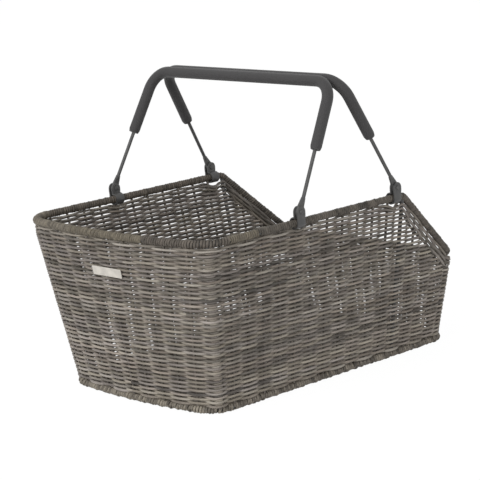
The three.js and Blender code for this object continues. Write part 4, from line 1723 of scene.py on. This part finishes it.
@dataclass
class Studio:
    """Floor, light and camera."""

    floor_half: float = 8.0
    floor_colour: tuple[float, float, float, float] = (0.9, 0.9, 0.9, 1.0)
    floor_roughness: float = 0.9
    floor_glow: float = 1.03
    white_share: float = 0.93
    world_strength: float = 0.70
    lamp_aim: Place = (0.0, 0.0, 0.12)
    camera_place: Place = (-1.7391, -1.8443, 0.6885)
    camera_right: Place = (0.72041, -0.69033, -0.06676)
    camera_up: Place = (0.18730, 0.10097, 0.97710)
    lens: float = 147.94
    sensor: float = 36.0
    farthest: float = 50.0

    def build(self) -> None:
        """Makes the floor, the world, the lamps and the camera."""
        self._floor()
        self._world()
        self._lamp("key_lamp", (-3.0, -0.3, 1.9), 1.8, 54.0)
        self._lamp("fill_lamp", (-0.4, -2.8, 1.8), 2.0, 8.0)
        self._lamp("low_lamp", (-2.4, -2.0, 0.40), 1.6, 21.0)
        self._camera()
        bpy.context.scene.view_settings.view_transform = "Standard"

    def _floor(self) -> None:
        """Lays a white floor that keeps the basket's shadow."""
        half = self.floor_half
        mesh = bpy.data.meshes.new("floor")
        corners = [(-half, -half, 0.0), (half, -half, 0.0), (half, half, 0.0), (-half, half, 0.0)]
        mesh.from_pydata(corners, [], [(0, 1, 2, 3)])
        floor = link("floor", mesh)
        tree = MaterialTree("white floor")
        material = tree.dressed({"Base Color": self.floor_colour, "Roughness": self.floor_roughness})
        glow = tree.out("ShaderNodeEmission", {"Color": WHITE, "Strength": self.floor_glow})
        share = tree.math("MULTIPLY", self._seen(tree), self.white_share)
        mixed = tree.out("ShaderNodeMixShader", {0: share, 1: tree.shader.outputs[0], 2: glow})
        tree.feed(material.node_tree.nodes["Material Output"].inputs["Surface"], mixed)
        mesh.materials.append(material)

    @staticmethod
    def _seen(tree: TreeBuilder) -> Socket:
        """Tells the rays that show the background from those that light the object.

        Args:
            tree: The tree to add the nodes to.

        Returns:
            1 for the former rays, and 0 for the latter.
        """
        rays = tree.add("ShaderNodeLightPath", {}).outputs
        mirrored = tree.math("MAXIMUM", rays["Is Glossy Ray"], rays["Is Transmission Ray"])
        return tree.math("MAXIMUM", rays["Is Camera Ray"], mirrored)

    def _world(self) -> None:
        """Surrounds the scene with white, dimmer where it lights the object."""
        world = bpy.data.worlds.new("studio")
        world.use_nodes = True
        tree = TreeBuilder(world.node_tree)
        background = world.node_tree.nodes["Background"]
        brightened = tree.math("MULTIPLY", self._seen(tree), 1.0 - self.world_strength)
        tree.feed(background.inputs["Color"], WHITE)
        tree.feed(background.inputs["Strength"], tree.math("ADD", brightened, self.world_strength))
        bpy.context.scene.world = world

    def _lamp(self, name: str, place: Place, size: float, power: float) -> None:
        """Hangs a square soft lamp that faces the basket.

        Args:
            name: The lamp's name.
            place: Where it hangs.
            size: Its side.
            power: Its power in watts.
        """
        data = bpy.data.lights.new(name, "AREA")
        data.size = size
        data.energy = power
        lamp = bpy.data.objects.new(name, data)
        lamp.location = place
        aim = Vector(self.lamp_aim) - lamp.location
        lamp.rotation_euler = aim.to_track_quat("-Z", "Y").to_euler()
        bpy.context.scene.collection.objects.link(lamp)

    def _camera(self) -> None:
        """Sets the camera at the photograph's viewing angle."""
        data = bpy.data.cameras.new("camera")
        data.lens = self.lens
        data.sensor_width = self.sensor
        data.clip_end = self.farthest
        camera = bpy.data.objects.new("camera", data)
        right = Vector(self.camera_right).normalized()
        back = right.cross(Vector(self.camera_up)).normalized()
        axes = Matrix((right, back.cross(right), back)).transposed()
        camera.matrix_world = Matrix.Translation(self.camera_place) @ axes.to_4x4()
        bpy.context.scene.collection.objects.link(camera)
        bpy.context.scene.camera = camera


def main() -> None:
    logging.basicConfig(level=logging.INFO)
    woven = RattanFinish(
        name="woven rattan",
        dark=(0.060, 0.054, 0.046),
        body=(0.182, 0.163, 0.142),
        pale=(0.340, 0.312, 0.274),
        hues=((1.0, 0.95, 0.80), (1.0, 1.0, 1.0), (0.92, 0.88, 0.95), (1.0, 0.89, 0.80), (0.97, 0.98, 0.92)),
    ).material()
    wound = RattanFinish(
        name="wound rattan",
        dark=(0.024, 0.021, 0.016),
        body=(0.108, 0.094, 0.077),
        pale=(0.250, 0.222, 0.180),
        hues=((1.0, 0.95, 0.70), (1.0, 1.0, 1.0), (0.90, 0.86, 0.90), (1.0, 0.9, 0.8)),
        streak_length=1.5,
    ).material()
    steel = PaintFinish("dark grey paint", (0.040, 0.040, 0.040), (0.074, 0.073, 0.070)).material()
    # The foam's second colour is painted shade in its pores.
    foam = FoamFinish("charcoal foam", (0.036, 0.0345, 0.0352), (0.018, 0.0172, 0.0178)).material()
    bare = BareMetalFinish("bare plate", (0.60, 0.565, 0.51), (0.45, 0.425, 0.385)).material()
    strands = woven_strand_tree()
    winding = winding_tree()
    outline = WallOutline()
    WovenWall(outline, woven, strands).build()
    WovenFloor(outline, woven, strands).build()
    plan = EdgePlan(outline)
    rim_sizes = WindingSizes(0.0041, 0.0036, 0.0033, 0.0022, 0.0007, 0.26, 5.0)
    base_sizes = WindingSizes(0.0038, 0.0039, 0.0037, 0.0024, 0.0015, 0.55, 7.0)
    WoundEdge(outline.rim, outline.stake, rim_sizes, wound, winding, plan.rim()).build()
    WoundEdge(outline.base, outline.stake, base_sizes, wound, winding, plan.border()).build()
    for end in End:
        Bail(end, steel, foam, strands).build()
    Fittings(steel, bare).build()
    Studio().build()


if __name__ == "__main__":
    main()
